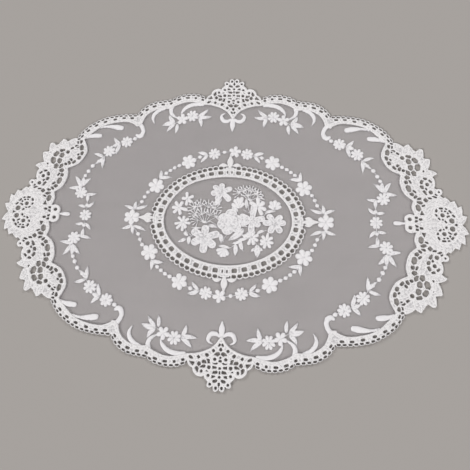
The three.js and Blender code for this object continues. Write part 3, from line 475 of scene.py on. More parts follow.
BOUQUET_LEAVES = table(Leaf, (
    (21, -11.6, 1, -29, 8, 0.06), (-24.4, -9, -12, -11.6, 4.6, 0.05),
    (5, 17.6, 13.4, 10.6, 5.4, 0.05), (22.6, 28, 23.4, 15.4, 4.4, 0.04),
    (-55, -19.6, -49, -25, 4.4, 0.04), (-51, -27.6, -62, -33, 4.4, 0.04),
    (-47, -24.6, -47.6, -37, 4.8, -0.04), (-33, -12.4, -47, -12.6, 3, 0.05),
    (-8, -20.6, -6.6, -33, 5.4, 0.04), (-10, -36.4, 6, -38.6, 3.6, 0.05),
    (11.4, -33.4, 11.6, -49, 5.4, 0.04), (17.4, -29, 21.6, -42, 5.2, -0.06),
    (20, -28, 6, -32.6, 4, 0.06), (26, -24.6, 13, -27, 4, 0.06), (28, -24, 19, -19.6, 4.6, 0.06),
    (47, 11.6, 62.6, 14.8, 4, 0.08), (48, -13.4, 37, -19.6, 4, -0.1),
    (52, -16, 50.6, -23, 3.4, 0.05), (-9, 27, -20, 17.6, 6, -0.05), (-4, -9, -13, -4, 4, 0.05),
    (8.6, -7.6, 29, -9.6, 2.6, 0.05), (37.6, -38, 31, -43, 3.6, -0.1),
    (40.4, -38, 46, -41, 3.6, 0.1), (39, -33.4, 39.4, -50, 7.6, 0.0),
))
BOUQUET_BLOOMS = table(Bloom, (
    (-54, 27, 2.3, ((100, 9.6), (22, 9.4), (-40, 8.4), (-95, 9), (170, 8))),
    (-64, 15.6, 2.5, ((122, 10.4), (62, 9.6), (-18, 12.4), (-75, 11), (-130, 11), (176, 9.6))),
    (-56.6, -5.6, 2.2, ((88, 10), (42, 9.6), (-8, 10), (-64, 9.6), (-93, 13), (-132, 13),
     (-168, 12), (132, 11))),
    (15, 17, 2.5, ((158, 12), (128, 13), (103, 13.6), (78, 14), (52, 8.6))),
    (60, 17.6, 2.9, ((145, 9.6), (118, 12.6), (88, 13.4), (60, 12.4), (32, 10))),
    (-1, -40, 2.6, ((192, 11.6), (218, 12), (243, 12), (268, 10.6), (298, 9.6))),
    (50.4, -28, 2.3, ((128, 10), (82, 9.6), (38, 10), (-14, 9.6), (-58, 10.4), (-108, 10.4),
     (-150, 9.6), (172, 8.6))),
    (31.6, -23, 2.4, ((140, 9), (112, 10), (72, 9.6), (20, 9.6), (-30, 10), (-74, 11),
     (-112, 11.6), (166, 10))),
    (39, 19.4, 2.9, ((94, 12.4), (44, 11), (-16, 11), (-66, 12.4), (206, 11), (154, 12))),
    (-9, 35.6, 4.0, ((28, 15), (92, 14.6), (140, 15.4), (186, 15), (236, 13), (318, 16))),
    (60, -2.6, 4.4, ((4, 15), (52, 15), (124, 15.6), (178, 15.4), (246, 15.6), (304, 16))),
    (31, 0.6, 4.4, ((12, 17.4), (82, 22), (158, 17.4), (202, 15), (268, 18), (322, 13.6))),
    (-28, -25.6, 5.2, ((18, 20), (88, 17.4), (152, 19.4), (209, 18.6), (268, 21), (318, 19))),
))
ROSE_BLOOMS = table(Bloom, (
    (2, -3, 8.0, ((78, 18.6), (20, 17), (322, 18), (262, 18.4), (205, 16), (145, 15.6))),
    (2.4, -3, 5.6, ((110, 11.6), (40, 11.4), (332, 11.6), (270, 12), (196, 11.4))),
))
ROSE_FOLDS = (
    ((-4, -1, 1.6), (-2, 2.6, 2.6), (2.6, 3.6, 2.8), (5.8, 0.4, 2.4), (4.6, -3.6, 1.6)),
    ((-3.4, -4, 1.6), (0, -6.4, 2.6), (4, -5.4, 1.6)),
    ((0.4, -1.4, 2.4), (2.6, -0.4, 2.6)),
)


# ---- Curves -------------------------------------------------------------------------


def lengths(path: Array) -> Array:
    """Length along a sampled path up to each of its samples: the running sum of its steps."""
    return np.concatenate([[0.0], np.cumsum(np.hypot(*np.diff(path[:, :2], axis=0).T))])


def resampled(path: Array, places: Array) -> Array:
    """A sampled path's columns at given lengths along it."""
    return np.column_stack([np.interp(places, lengths(path), column) for column in path.T])


def smooth(points: Points, step: float = CURVE_STEP) -> Array:
    """Samples a smooth curve through points at even steps of its length.

    Each stretch is a Catmull-Rom cubic of the two points at its ends and their two
    neighbours, the first and last point standing in for those that are missing.

    Args:
        points: rows of two or more numbers; the first two are the place.
        step: distance from sample to sample, in millimetres.

    Returns:
        The samples, with as many columns as the points have.
    """
    knots = np.asarray(points, float)
    padded = np.vstack([knots[:1], knots, knots[-1:]])
    t = (np.arange(SAMPLES) / SAMPLES)[None, :, None]
    before, here, after, later = (padded[i: len(knots) - 1 + i, None] for i in range(4))
    tight, slope = (after - before) / 2, (later - here) / 2
    cubic = (2 * here - 2 * after + tight + slope) * t ** 3
    cubic += (3 * after - 3 * here - 2 * tight - slope) * t ** 2
    fine = np.vstack([(cubic + tight * t + here).reshape(-1, knots.shape[1]), knots[-1:]])
    total = lengths(fine)[-1]
    return resampled(fine, np.linspace(0.0, total, max(2, math.ceil(total / step) + 1)))


def tapered(points: Points) -> Array:
    """Samples a smooth curve through rows of place and width, the widths made half widths."""
    return smooth(points) * (1.0, 1.0, 0.5)


def tangents(path: Array) -> Array:
    """Works out the directions of a sampled path from the differences of its samples.

    Args:
        path: rows of place.

    Returns:
        A row of unit length for each sample.
    """
    if len(path) < 2:
        return np.array([[1.0, 0.0]])
    slope = np.gradient(path[:, :2], axis=0)
    return slope / np.maximum(np.hypot(*slope.T), TINY)[:, None]


def moved_left(path: Array, distance: float) -> Array:
    """Moves a sampled path sideways.

    Args:
        path: rows of place.
        distance: how far, to the left of its direction.

    Returns:
        The places moved.
    """
    direction = tangents(path)
    left = np.column_stack([-direction[:, 1], direction[:, 0]])
    return path[:, :2] + left * distance


def with_width(path: Array, width: float) -> Array:
    """A sampled path with the same half width at each sample."""
    return np.column_stack([path[:, :2], np.full(len(path), width / 2)])


def cord(points: Points, width: float) -> Array:
    """Samples a cord of one width along a smooth curve through points."""
    return with_width(smooth(points, CORD_STEP), width)


def stub(x: float, y: float, heading: Sequence[float], half: float) -> Array:
    """Three places of a short straight run, by its middle, direction and half length."""
    return np.array([-1.0, 0.0, 1.0])[:, None] * half * np.array(heading) + (x, y)


def arc(
    x: float, y: float, radius: float, start: float, end: float, step: float = CURVE_STEP,
) -> Array:
    """Samples an arc: the middle plus the radius times cosine and sine of the angle.

    Args:
        x: X of its middle.
        y: Y of its middle.
        radius: its radius.
        start: angle at which it starts, in degrees.
        end: angle at which it ends.
        step: the most from sample to sample.

    Returns:
        The places.
    """
    count = max(2, math.ceil(abs(math.radians(end - start)) * radius / step) + 1)
    angle = np.radians(np.linspace(start, end, count))
    return np.column_stack([x + radius * np.cos(angle), y + radius * np.sin(angle)])


def oval(half: tuple[float, float]) -> Array:
    """Samples a quarter of an oval at even steps of its length.

    Args:
        half: its half lengths along X and Y.

    Returns:
        The places, from the Y axis to the X axis.
    """
    angle = np.linspace(math.pi / 2, 0.0, OVAL_SAMPLES)
    path = np.column_stack([half[0] * np.cos(angle), half[1] * np.sin(angle)])
    return resampled(path, np.arange(0.0, lengths(path)[-1] + CURVE_STEP / 2, CURVE_STEP))


def at_lengths(path: Array, places: Array) -> tuple[Array, Array]:
    """Places and directions at given lengths along a sampled path."""
    found = resampled(np.hstack([path[:, :2], tangents(path)]), places)
    return found[:, :2], found[:, 2:]


def bulged(points: Points) -> Array:
    """Joins corners by sides that bow outwards as a sine, to the left of their direction.

    Args:
        points: the corners.

    Returns:
        The places along the sides.
    """
    sides = []
    t = np.linspace(0.0, 1.0, SIDE_SAMPLES + 1)[:-1, None]
    for (ax, ay), (bx, by) in zip(points, points[1:]):
        bow = np.array([ay - by, bx - ax]) * SIDE_BOW
        straight = np.array([ax, ay]) + np.array([bx - ax, by - ay]) * t
        sides.append(straight + bow * np.sin(math.pi * t))
    return np.vstack([*sides, [points[-1]]])


def leaf_path(leaf: Leaf) -> Array:
    """Samples the middle line of a leaf.

    The line bows sideways as a sine of its length. The half width is a sine too, run
    through a power that puts the widest place a little before the middle.

    Args:
        leaf: its row of the layout.

    Returns:
        Rows of place and half width.
    """
    base, tip = np.array([leaf.x, leaf.y]), np.array([leaf.tip_x, leaf.tip_y])
    span = tip - base
    t = np.linspace(0.0, 1.0, math.ceil(float(np.hypot(*span)) / CORD_STEP))[:, None]
    side = np.array([-span[1], span[0]])
    middle = base + span * t + side * leaf.bend * np.sin(math.pi * t)
    swell = np.sin(math.pi * t ** LEAF_EARLY) ** LEAF_BLUNT
    return np.hstack([middle, np.maximum(leaf.width / 2 * LEAF_FULL * swell, LEAST_HALF)])


def petal_path(bloom: Bloom, angle: float, outer: float) -> Array:
    """Samples the middle line of a petal, whose half width swells towards its round end.

    Args:
        bloom: the flower that it belongs to.
        angle: direction in which it points, in radians.
        outer: how far it reaches from the flower's middle.

    Returns:
        Rows of place and half width.
    """
    t = np.linspace(0.0, 1.0, max(3, math.ceil((outer - PETAL_FROM) / CORD_STEP)))
    reach = PETAL_FROM + (outer - bloom.half - PETAL_FROM) * t
    swell = PETAL_ROOT + (1.0 - PETAL_ROOT) * np.sin(math.pi / 2 * t ** PETAL_EARLY)
    return np.column_stack([
        bloom.x + reach * math.cos(angle), bloom.y + reach * math.sin(angle), bloom.half * swell,
    ])


def dome(depth: Array) -> Array:
    """A quarter circle's height: nought at the edge and one from a depth of one inwards."""
    return np.sqrt(np.maximum(1.0 - (1.0 - np.clip(depth, 0.0, 1.0)) ** 2, 0.0))


def bell(away: Array, width: float) -> Array:
    """One where the distance is nought, falling away over a width."""
    return np.exp(-(away / width) ** 2)


def sweep(path: Array, columns: Array, rows: Array) -> Array:
    """Sweeps a disc of changing radius along a path, over the nodes of a window.

    The distance inside is the greatest, over the path's samples, of the half width less
    the distance to the sample.

    Args:
        path: rows of place and half width.
        columns: X of the nodes.
        rows: their Y.

    Returns:
        At each node the distance inside, the half width of the path there, the distance
        beside its middle line, and the length along it.
    """
    x, y, half = path.T
    depth = half - np.hypot(columns[..., None] - x, rows[..., None] - y)
    best = depth.argmax(axis=-1)
    heading = tangents(path)[best]
    near_x, near_y = columns - x[best], rows - y[best]
    ahead = near_x * heading[..., 0] + near_y * heading[..., 1]
    beside = np.abs(near_y * heading[..., 0] - near_x * heading[..., 1])
    return np.stack([depth.max(axis=-1), half[best], beside, lengths(path)[best] + ahead])


def raised(profile: Profile, level: Array, half: Array, beside: Array, widest: float) -> Array:
    """Works out the height of a stitched form across its width.

    A rounded form is a quarter circle of the distance inside as a share of the half
    width, and lower where the form is narrower. A rimmed one is level from just inside
    its edge, with a bell for the rim and a lower one for the vein.

    Args:
        profile: how it is raised.
        level: distance inside its edge.
        half: its half width there.
        beside: distance beside its middle line.
        widest: the greatest half width it has.

    Returns:
        The height, from nought to one.
    """
    if profile is Profile.RIMMED:
        plain = RIMMED_PLAIN + RIM_RISE * bell(level - RIM_IN, RIM_WIDTH)
        return dome(level / RIM_IN) * (plain + FINE_VEIN * bell(beside, FINE_VEIN_WIDTH))
    height = np.sqrt(half / widest) * dome(level / half)
    if profile is Profile.VEINED:
        height = height * (1.0 - VEIN * bell(beside, VEIN_WIDTH))
    return height


# ---- Reliefs ------------------------------------------------------------------------


@dataclass(frozen=True)
class Grid:
    """A rectangle of evenly spaced nodes, in millimetres."""

    low: tuple[float, float]
    high: tuple[float, float]
    pitch: float = PITCH

    @property
    def shape(self) -> tuple[int, int]:
        """Number of nodes along X and Y."""
        return tuple(round((h - l) / self.pitch) + 1 for l, h in zip(self.low, self.high))

    def axes(self) -> tuple[Array, Array]:
        """Coordinates of the columns and rows."""
        return tuple(l + self.pitch * np.arange(n) for l, n in zip(self.low, self.shape))

    def mirrored(self) -> "Grid":
        """The whole plane's grid, of which this is the first quarter."""
        return Grid(tuple(-h for h in self.high), self.high, self.pitch)

    def span(self, low: Sequence[float], high: Sequence[float]) -> tuple[slice, slice]:
        """Finds the nodes of a rectangle.

        Args:
            low: its lower corner.
            high: its upper corner.

        Returns:
            Columns and rows from one corner to the other, ends included.
        """
        first = [max(0, round((a - l) / self.pitch)) for a, l in zip(low, self.low)]
        last = [
            min(n, round((b - l) / self.pitch) + 1)
            for b, l, n in zip(high, self.low, self.shape)
        ]
        return slice(first[0], max(first[0], last[0])), slice(first[1], max(first[1], last[1]))


WHOLE_HALF = (512 * PITCH, 356 * PITCH)  # half lengths of the whole plane's grid
MEDALLION_HALF = (142 * PITCH, 108 * PITCH)  # and of the medallion's
QUARTER = Grid((0.0, 0.0), WHOLE_HALF)
MEDALLION = Grid(tuple(-half for half in MEDALLION_HALF), MEDALLION_HALF)


class Relief:
    """Cloth on a grid: distance inside its edge, height of its stitches, and their run.

    Attributes:
        grid: the grid.
        x: coordinates of its columns.
        y: coordinates of its rows.
        level: distance inside the cloth's edge, negative outside it.
        rise: height of the stitching above the cloth's face.
        run: length along the stitched form, in which the threads follow one another.
    """

    def __init__(self, grid: Grid) -> None:
        """Starts with no cloth at all.

        Args:
            grid: its nodes.
        """
        self.grid = grid
        self.x, self.y = grid.axes()
        self.level = np.full(grid.shape, -FAR)
        self.rise = np.zeros(grid.shape)
        self.run = self.x[:, None] * THREAD_WAY[0] + self.y[None, :] * THREAD_WAY[1]

    def _window(self, low: Array, high: Array, margin: float) -> tuple | None:
        """Finds the part of the grid round a box.

        Args:
            low: the box's lower corner.
            high: its upper corner.
            margin: how much further the part reaches on each side.

        Returns:
            The part with its columns' and its rows' coordinates, or None where it is empty.
        """
        span = self.grid.span(low - margin, high + margin)
        if span[0].start >= span[0].stop or span[1].start >= span[1].stop:
            return None
        return span, self.x[span[0]][:, None], self.y[span[1]][None, :]

    def _stitch(self, span: tuple, level: Array, height: Array, run: Array, over: bool) -> None:
        """Adds a form.

        Args:
            span: the part of the grid that it lies in.
            level: distance inside its edge.
            height: its height.
            run: length along it.
            over: whether it covers what is there, or shows only where it stands higher.
        """
        self.level[span] = np.maximum(self.level[span], level)
        shown = (level > 0) & (over | (height > self.rise[span]))
        self.rise[span] = np.where(shown, height, self.rise[span])
        self.run[span] = np.where(shown, run, self.run[span])

    def stroke(
        self, path: Array, rise: float, profile: Profile = Profile.DOME, over: bool = False,
    ) -> None:
        """Adds a form swept along a path.

        Args:
            path: rows of place and half width.
            rise: height where the form is highest.
            profile: how it is raised across its width.
            over: whether it lies on the forms before it, its outline showing as a groove.
        """
        widest = float(path[:, 2].max())
        margin = widest + 2 * self.grid.pitch
        window = self._window(path[:, :2].min(axis=0), path[:, :2].max(axis=0), margin)
        if window is None:
            return
        span, columns, rows = window
        found = np.full((4, len(columns), rows.shape[1]), -FAR)
        length = lengths(path)
        for start in range(0, max(1, len(path) - 1), SWEEP):
            part = path[start: start + SWEEP + 1]
            window = self._window(part[:, :2].min(axis=0), part[:, :2].max(axis=0), margin)
            if window is None:
                continue
            swept = sweep(part, *window[1:])
            swept[3] += length[start]
            here = (slice(a.start - b.start, a.stop - b.start) for a, b in zip(window[0], span))
            place = found[:, *here]
            place[:] = np.where(swept[0] > place[0], swept, place)
        level, half, beside, run = found
        height = rise * raised(profile, level, np.maximum(half, THINNEST), beside, widest)
        self._stitch(span, level, height, run, over)

    def ring(self, disc: Disc, rise: float) -> None:
        """A cord bent into a circle."""
        around = arc(disc.x, disc.y, disc.radius, 0.0, 360.0, CORD_STEP)
        self.stroke(with_width(around, disc.width), rise, over=True)

    def bead(self, disc: Disc, rise: float) -> None:
        """A round domed bead."""
        ends = np.array([[disc.x - BEAD_HALF, disc.y], [disc.x + BEAD_HALF, disc.y]])
        self.stroke(with_width(ends, 2 * disc.radius), rise, over=True)

    def bloom(self, bloom: Bloom, rise: float, profile: Profile = Profile.DOME) -> None:
        """Adds a flower whose petals meet in creases.

        At each node the petal that reaches furthest over it counts. Its height is brought
        down where the next petal reaches nearly as far.

        Args:
            bloom: the flower.
            rise: height where it is highest.
            profile: how its petals are raised.
        """
        spot = np.array([bloom.x, bloom.y])
        reach = max(outer for _, outer in bloom.petals)
        window = self._window(spot, spot, reach + 2 * self.grid.pitch)
        if window is None:
            return
        span, columns, rows = window
        petals = np.stack([
            sweep(petal_path(bloom, math.radians(angle), outer), columns, rows)
            for angle, outer in bloom.petals
        ])
        order = np.sort(petals[:, 0], axis=0)
        best = petals[:, 0].argmax(axis=0)[None, None]
        level, half, beside, run = np.take_along_axis(petals, best, axis=0)[0]
        apart = np.clip((order[-1] - order[-2]) / CREASE, 0.0, 1.0)
        crease = CREASE_LOW + (1.0 - CREASE_LOW) * apart * apart * (3 - 2 * apart)
        height = rise * raised(profile, level, half, beside, bloom.half) * crease
        self._stitch(span, level, height, run, True)

    def corded(self) -> None:
        """Raises a cord along every edge of the cloth, over a lower plain height."""
        edge = bell(self.level - RIM_IN, EDGE_CORD_WIDTH)
        height = PLAIN_LACE + (EDGE_CORD - PLAIN_LACE) * edge
        self.rise = np.where(self.level > 0, np.maximum(self.rise, height), self.rise)

    def fill(self, outline: Array, soften: int = 2) -> None:
        """Lays plain ground over a closed outline.

        A node is inside where a line to its left crosses the outline an odd number of
        times, and its level is its distance to the nearest side. Averaging the level
        with its neighbours rounds the corners.

        Args:
            outline: its corners.
            soften: how many times the level is averaged.
        """
        inside = np.zeros(self.grid.shape, bool)
        distance = np.full(self.grid.shape, FAR)
        for (ax, ay), (bx, by) in zip(outline, np.roll(outline, -1, axis=0)):
            rows = (self.y > min(ay, by)) & (self.y <= max(ay, by))
            if rows.any():
                crossing = ax + (self.y[rows] - ay) * (bx - ax) / (by - ay)
                inside[:, rows] ^= self.x[:, None] > crossing[None, :]
            low, high = np.array([min(ax, bx), min(ay, by)]), np.array([max(ax, bx), max(ay, by)])
            window = self._window(low, high, FILL_REACH)
            length = (bx - ax) ** 2 + (by - ay) ** 2
            if window is None or length == 0:
                continue
            span, columns, lines = window
            share = ((columns - ax) * (bx - ax) + (lines - ay) * (by - ay)) / length
            share = np.clip(share, 0.0, 1.0)
            gap = np.hypot(columns - ax - share * (bx - ax), lines - ay - share * (by - ay))
            distance[span] = np.minimum(distance[span], gap)
        level = np.where(inside, distance, -distance)
        for _ in range(soften):
            edged = np.pad(level, 1, mode="edge")
            aside = edged[:-2, 1:-1] + edged[2:, 1:-1]
            level = (aside + edged[1:-1, :-2] + edged[1:-1, 2:] + edged[1:-1, 1:-1]) / 5
        self.level = np.maximum(self.level, level)

    def pierce(self, holes: Iterable[Hole]) -> None:
        """Cuts openings with rounded corners, leaving a bar between those that would meet.

        In a hole's own stretched coordinates its edge is a superellipse if it has four
        corners or two, and otherwise a polygon, part way to a circle. The depth in the
        cut is that in the nearest hole, or less half a bar than what is halfway to the next.

        Args:
            holes: the openings.
        """
        first, second = (np.full(self.grid.shape, -FAR) for _ in range(2))
        for hole in holes:
            spot = np.array([hole.x, hole.y])
            window = self._window(spot, spot, max(hole.long, hole.wide) / 2 + CUT_REACH)
            if window is None:
                continue
            span, columns, rows = window
            turn = math.radians(hole.turn)
            cosine, sine = math.cos(turn), math.sin(turn)
            long, wide = hole.long / 2, hole.wide / 2
            along = ((columns - hole.x) * cosine + (rows - hole.y) * sine) / long
            across = ((rows - hole.y) * cosine - (columns - hole.x) * sine) / wide
            if hole.corners in BULGE:
                power = BULGE[hole.corners]
                ratio = (np.abs(along) ** power + np.abs(across) ** power) ** (1 / power)
            else:
                wedge = 2 * math.pi / hole.corners
                angle = np.mod(np.arctan2(across, along), wedge) - wedge / 2
                side = math.cos(wedge / 2) / np.cos(angle)
                ratio = np.hypot(along, across) / (POLYGON_ROUND + side)
            depth = (1.0 - ratio) * min(long, wide)
            second[span] = np.maximum(second[span], np.minimum(first[span], depth))
            first[span] = np.maximum(first[span], depth)
        depth = np.minimum(first, (first - second - BAR) / 2)
        self.level = np.minimum(self.level, -depth)

    def whole(self) -> "Relief":
        """Mirrors the first quarter about both axes.

        Returns:
            The relief of the whole plane.
        """
        plane = Relief(self.grid.mirrored())
        for name in ("level", "rise", "run"):
            quarter = getattr(self, name)
            half = np.concatenate([quarter[:0:-1], quarter], axis=0)
            setattr(plane, name, np.concatenate([half[:, :0:-1], half], axis=1))
        return plane


# ---- Meshes -------------------------------------------------------------------------


@dataclass(frozen=True)
class Section:
    """How thick a piece is, in millimetres above the surface it lies on."""

    under: float  # height of its underside
    rim: float  # height of its edge, where the upper and lower side meet
    face: float  # height of its upper side where nothing is raised on it
    edge: float  # distance over which the edge is rounded

    def top(self, level: Array, rise: Array) -> Array:
        """Upper side: a quarter circle from the rim to the face and the stitches on it."""
        return self.rim + (self.face - self.rim + rise) * dome(level / self.edge)

    def bottom(self, level: Array) -> Array:
        """Lower side: a quarter circle from the rim down to the underside."""
        return self.rim - (self.rim - self.under) * dome(level / self.edge)


LACE = Section(under=0.05, rim=1.1, face=1.8, edge=0.5)
SATIN = Section(under=0.15, rim=0.5, face=0.9, edge=0.6)
NET = Section(under=0.4, rim=0.4, face=0.4, edge=1.0)


@dataclass
class Surface:
    """Points of a mesh, the faces between them, and what its finish reads."""

    points: Array  # places in millimetres
    faces: list[Array]  # arrays of equally long rows of point numbers
    run: Array  # length along the stitched form at each point
    relief: Array  # height of the stitching at each point, which the finish reads for its painted shade
    cut: Array  # points on a line where one piece goes on into the next


def cells(node: Array, along: Array, up: Array) -> list[Array]:
    """Works out the faces of a grid's cells, clipped where the level passes through nought.

    The corners of a cell and the crossings on its sides stand in one ring of eight, and
    a cell's face is those of them that exist. A cell with two opposite corners inside
    has two triangles.

    Args:
        node: point number of each node, or less than nought where it has none.
        along: the same for the crossing between each node and the next along X.
        up: the same along Y.

    Returns:
        The faces, in arrays of equally long rows of point numbers.
    """
    ring = np.stack([
        node[:-1, :-1], along[:, :-1], node[1:, :-1], up[1:],
        node[1:, 1:], along[:, 1:], node[:-1, 1:], up[:-1],
    ], axis=-1).reshape(-1, 8)
    present = ring >= 0
    kind = present @ (1 << np.arange(8))
    faces = []
    for case in np.unique(kind[kind > 0]):
        places = [i for i in range(8) if case >> i & 1]
        rows = ring[kind == case]
        corners = [i for i in places if i % 2 == 0]
        if len(places) == 6 and len(corners) == 2 and corners[1] - corners[0] == 4:
            faces += [rows[:, [(i - 1) % 8, i, (i + 1) % 8]] for i in corners]
        else:
            faces.append(rows[:, places])
    return faces


def cut_walls(top: Array, crossing: Array, below: int, reverse: bool) -> list[Array]:
    """Works out the faces that close a piece along a line on which it is cut from the next.

    Args:
        top: point number of each node on the line, or less than nought.
        crossing: the same for the crossings between them.
        below: what is added to a number for the point under it.
        reverse: whether the faces are turned round.

    Returns:
        The faces, in arrays of equally long rows of point numbers.
    """
    first, second = top[:-1], top[1:]
    both = (first >= 0) & (second >= 0)
    start = (first >= 0) & (second < 0)
    end = (first < 0) & (second >= 0)
    walls = [
        np.stack([first[both], second[both], second[both] + below, first[both] + below], axis=-1),
        np.stack([first[start], crossing[start], first[start] + below], axis=-1),
        np.stack([crossing[end], second[end], second[end] + below], axis=-1),
    ]
    return [wall[:, ::-1] if reverse else wall for wall in walls if len(wall)]


def cut_out(
    relief: Relief, low: Sequence[float], high: Sequence[float], section: Section,
) -> Surface:
    """Cuts a piece out of a relief as a closed surface of an upper and a lower side.

    The two sides have a point at each node inside the cloth, and share the points of
    the edge, which lie on the grid's lines where the level passes through nought.

    Args:
        relief: the cloth.
        low: lower corner of the rectangle in which the piece lies.
        high: upper corner.
        section: the heights.

    Returns:
        The piece, in millimetres.
    """
    span = relief.grid.span(low, high)
    x, y, pitch = relief.x[span[0]], relief.y[span[1]], relief.grid.pitch
    level, rise, run = (values[span] for values in (relief.level, relief.rise, relief.run))
    near = SNAP * pitch
    level = np.where(np.abs(level) < near, np.copysign(near, level), level)
    inside = level > 0
    node = np.where(inside, np.cumsum(inside).reshape(inside.shape) - 1, -1)
    count = int(inside.sum())
    spots = [np.column_stack([a[inside] for a in np.broadcast_arrays(x[:, None], y[None, :])])]
    runs, ids, total = [run[inside]], [], count
    for axis in (0, 1):
        ends = (range(level.shape[axis] - 1), range(1, level.shape[axis]))
        a, b = (np.take(level, end, axis) for end in ends)
        run_a, run_b = (np.take(run, end, axis) for end in ends)
        crosses = (a > 0) != (b > 0)
        share = np.where(crosses, a / np.where(crosses, a - b, 1.0), 0.0)
        gx, gy = np.broadcast_arrays(x[: a.shape[0], None], y[None, : a.shape[1]])
        moved = [gx + share * pitch, gy] if axis == 0 else [gx, gy + share * pitch]
        spots.append(np.column_stack([m[crosses] for m in moved]))
        runs.append(np.where(a > 0, run_a, run_b)[crosses])
        ids.append(np.where(crosses, total + np.cumsum(crosses).reshape(a.shape) - 1, -1))
        total += int(crosses.sum())
    along, up = ids
    faces = cells(node, along, up)
    lower = [np.where(face < count, face + total, face)[:, ::-1] for face in faces]
    edges = (
        cut_walls(node[0], up[0], total, False) + cut_walls(node[-1], up[-1], total, True)
        + cut_walls(node[:, 0], along[:, 0], total, True)
        + cut_walls(node[:, -1], along[:, -1], total, False)
    )
    spot = np.vstack(spots)
    rim = total - count
    place = np.vstack([spot, spot[:count]])
    heights = np.concatenate([
        section.top(level[inside], rise[inside]),
        np.full(rim, section.rim),
        section.bottom(level[inside]),
    ])
    # The rim and the underside have no stitching, so the finish gives them its painted shade
    return Surface(
        points=np.column_stack([place, heights]),
        faces=faces + lower + edges,
        run=np.concatenate([*runs, runs[0]]),
        relief=np.concatenate([rise[inside], np.zeros(rim), np.zeros(count)]),
        cut=np.isclose(place[:, 0], x[0]) | np.isclose(place[:, 0], x[-1]),
    )


def sheet_of(relief: Relief) -> Surface:
    """Cuts a single layer of net out of every few nodes of a relief.

    Args:
        relief: the cloth.

    Returns:
        The sheet, in millimetres.
    """
    grid = relief.grid
    coarse = Relief(Grid(grid.low, grid.high, grid.pitch * NET_STEP))
    coarse.level = relief.level[::NET_STEP, ::NET_STEP]
    surface = cut_out(coarse, grid.low, grid.high, NET)
    upper = surface.faces[: len(surface.faces) // 2]
    used = max(int(face.max()) for face in upper) + 1
    kept = (values[:used] for values in (surface.run, surface.relief))
    return Surface(surface.points[:used], upper, *kept, cut=np.zeros(used, bool))


def lie(points: Array) -> Array:
    """Lets the cloth lie a little unevenly.

    The whole is a touch narrower than its layout. A flat-topped bell over the far side
    draws that side in, and a smaller one keeps the far part of the medallion out of it.
    Slow sine waves of place add a third of a millimetre either way, and lift the cloth by
    up to a quarter.

    Args:
        points: places of the layout, in millimetres.

    Returns:
        The places where they lie.
    """
    x, y, z = points.T
    inwards, outwards = (DRAWN_LOW - y) / DRAWN_NEAR, np.maximum(y - DRAWN_HIGH, 0.0) / DRAWN_FAR
    off = np.where(y < DRAWN_LOW, inwards, outwards)
    drawn = DRAWN_IN * np.exp(-((x - DRAWN_X) / DRAWN_WIDE) ** 4 - off ** 2)
    kept = KEPT_OUT * np.exp(-((x - KEPT_X) / KEPT_WIDE) ** 4 - ((y - KEPT_Y) / KEPT_DEEP) ** 2)
    aside = LIE_X + WAVE * np.sin(ASIDE_X.angle(x)) * np.cos(ASIDE_Y.angle(y)) - NARROWED * x
    along = LIE_Y + WAVE * np.sin(ALONG_Y.angle(y)) * np.cos(ALONG_X.angle(x)) - drawn + kept
    lift = LIFT * (1.0 + np.sin(LIFT_X.angle(x)) * np.sin(LIFT_Y.angle(y)))
    return np.column_stack([x + aside, y + along, z + lift])


def make_piece(name: str, surface: Surface, material: Material) -> Object:
    """Puts a surface into the scene.

    Args:
        name: the object's name.
        surface: points and faces, in millimetres.
        material: its finish.

    Returns:
        The object, at the origin, with the UV map Threads and the attribute relief,
        from which its finish paints shade.
    """
    mesh = bpy.data.meshes.new(name)
    points = lie(surface.points) * MM
    mesh.vertices.add(len(points))
    mesh.vertices.foreach_set("co", points.ravel())
    loops = np.concatenate([face.ravel() for face in surface.faces])
    sizes = np.concatenate([np.full(len(face), face.shape[1]) for face in surface.faces])
    mesh.loops.add(len(loops))
    mesh.loops.foreach_set("vertex_index", loops.astype(np.int32))
    mesh.polygons.add(len(sizes))
    mesh.polygons.foreach_set("loop_start", (np.cumsum(sizes) - sizes).astype(np.int32))
    mesh.polygons.foreach_set("use_smooth", np.ones(len(sizes), bool))
    mesh.update(calc_edges=True)
    threads = mesh.uv_layers.new(name="Threads")
    across = surface.points[:, 0] - surface.points[:, 1]
    threads.data.foreach_set("uv", (np.column_stack([surface.run, across])[loops] * MM).ravel())
    relief = mesh.attributes.new("relief", "FLOAT", "POINT")
    relief.data.foreach_set("value", surface.relief.astype(np.float32))
    if surface.cut.any():
        ends = np.empty(2 * len(mesh.edges), np.int32)
        mesh.edges.foreach_get("vertices", ends)
        sharp = mesh.attributes.new("sharp_edge", "BOOLEAN", "EDGE")
        sharp.data.foreach_set("value", surface.cut[ends].reshape(-1, 2).all(axis=1))
    mesh.validate()
    mesh.materials.append(material)
    piece = bpy.data.objects.new(name, mesh)
    bpy.context.scene.collection.objects.link(piece)
    log.info("%s: %d points, %d triangles", name, len(points), int((sizes - 2).sum()))
    return piece


# ---- Finishes -----------------------------------------------------------------------


class Shared(Enum):
    """The node groups that the finishes share."""

    THREADS = "Thread lines and painted shade"
    MOTTLE = "Soft mottle"
    NET = "Hex net"


def new_group(
    kind: Shared, inputs: Sequence[tuple[str, str, float]], outputs: Sequence[tuple[str, str]],
) -> tuple[bpy.types.NodeTree, Node, Node]:
    """Makes a shader node group with its sockets.

    Args:
        kind: which group it is.
        inputs: name, kind and default of each input; a vector has no default.
        outputs: name and kind of each output.

    Returns:
        The group with its input and its output node.
    """
    group = bpy.data.node_groups.new(kind.value, "ShaderNodeTree")
    for title, sort, default in inputs:
        socket = group.interface.new_socket(title, in_out="INPUT", socket_type=f"NodeSocket{sort}")
        if sort == "Float":
            socket.default_value = default
    for title, sort in outputs:
        group.interface.new_socket(title, in_out="OUTPUT", socket_type=f"NodeSocket{sort}")
    return group, group.nodes.new("NodeGroupInput"), group.nodes.new("NodeGroupOutput")


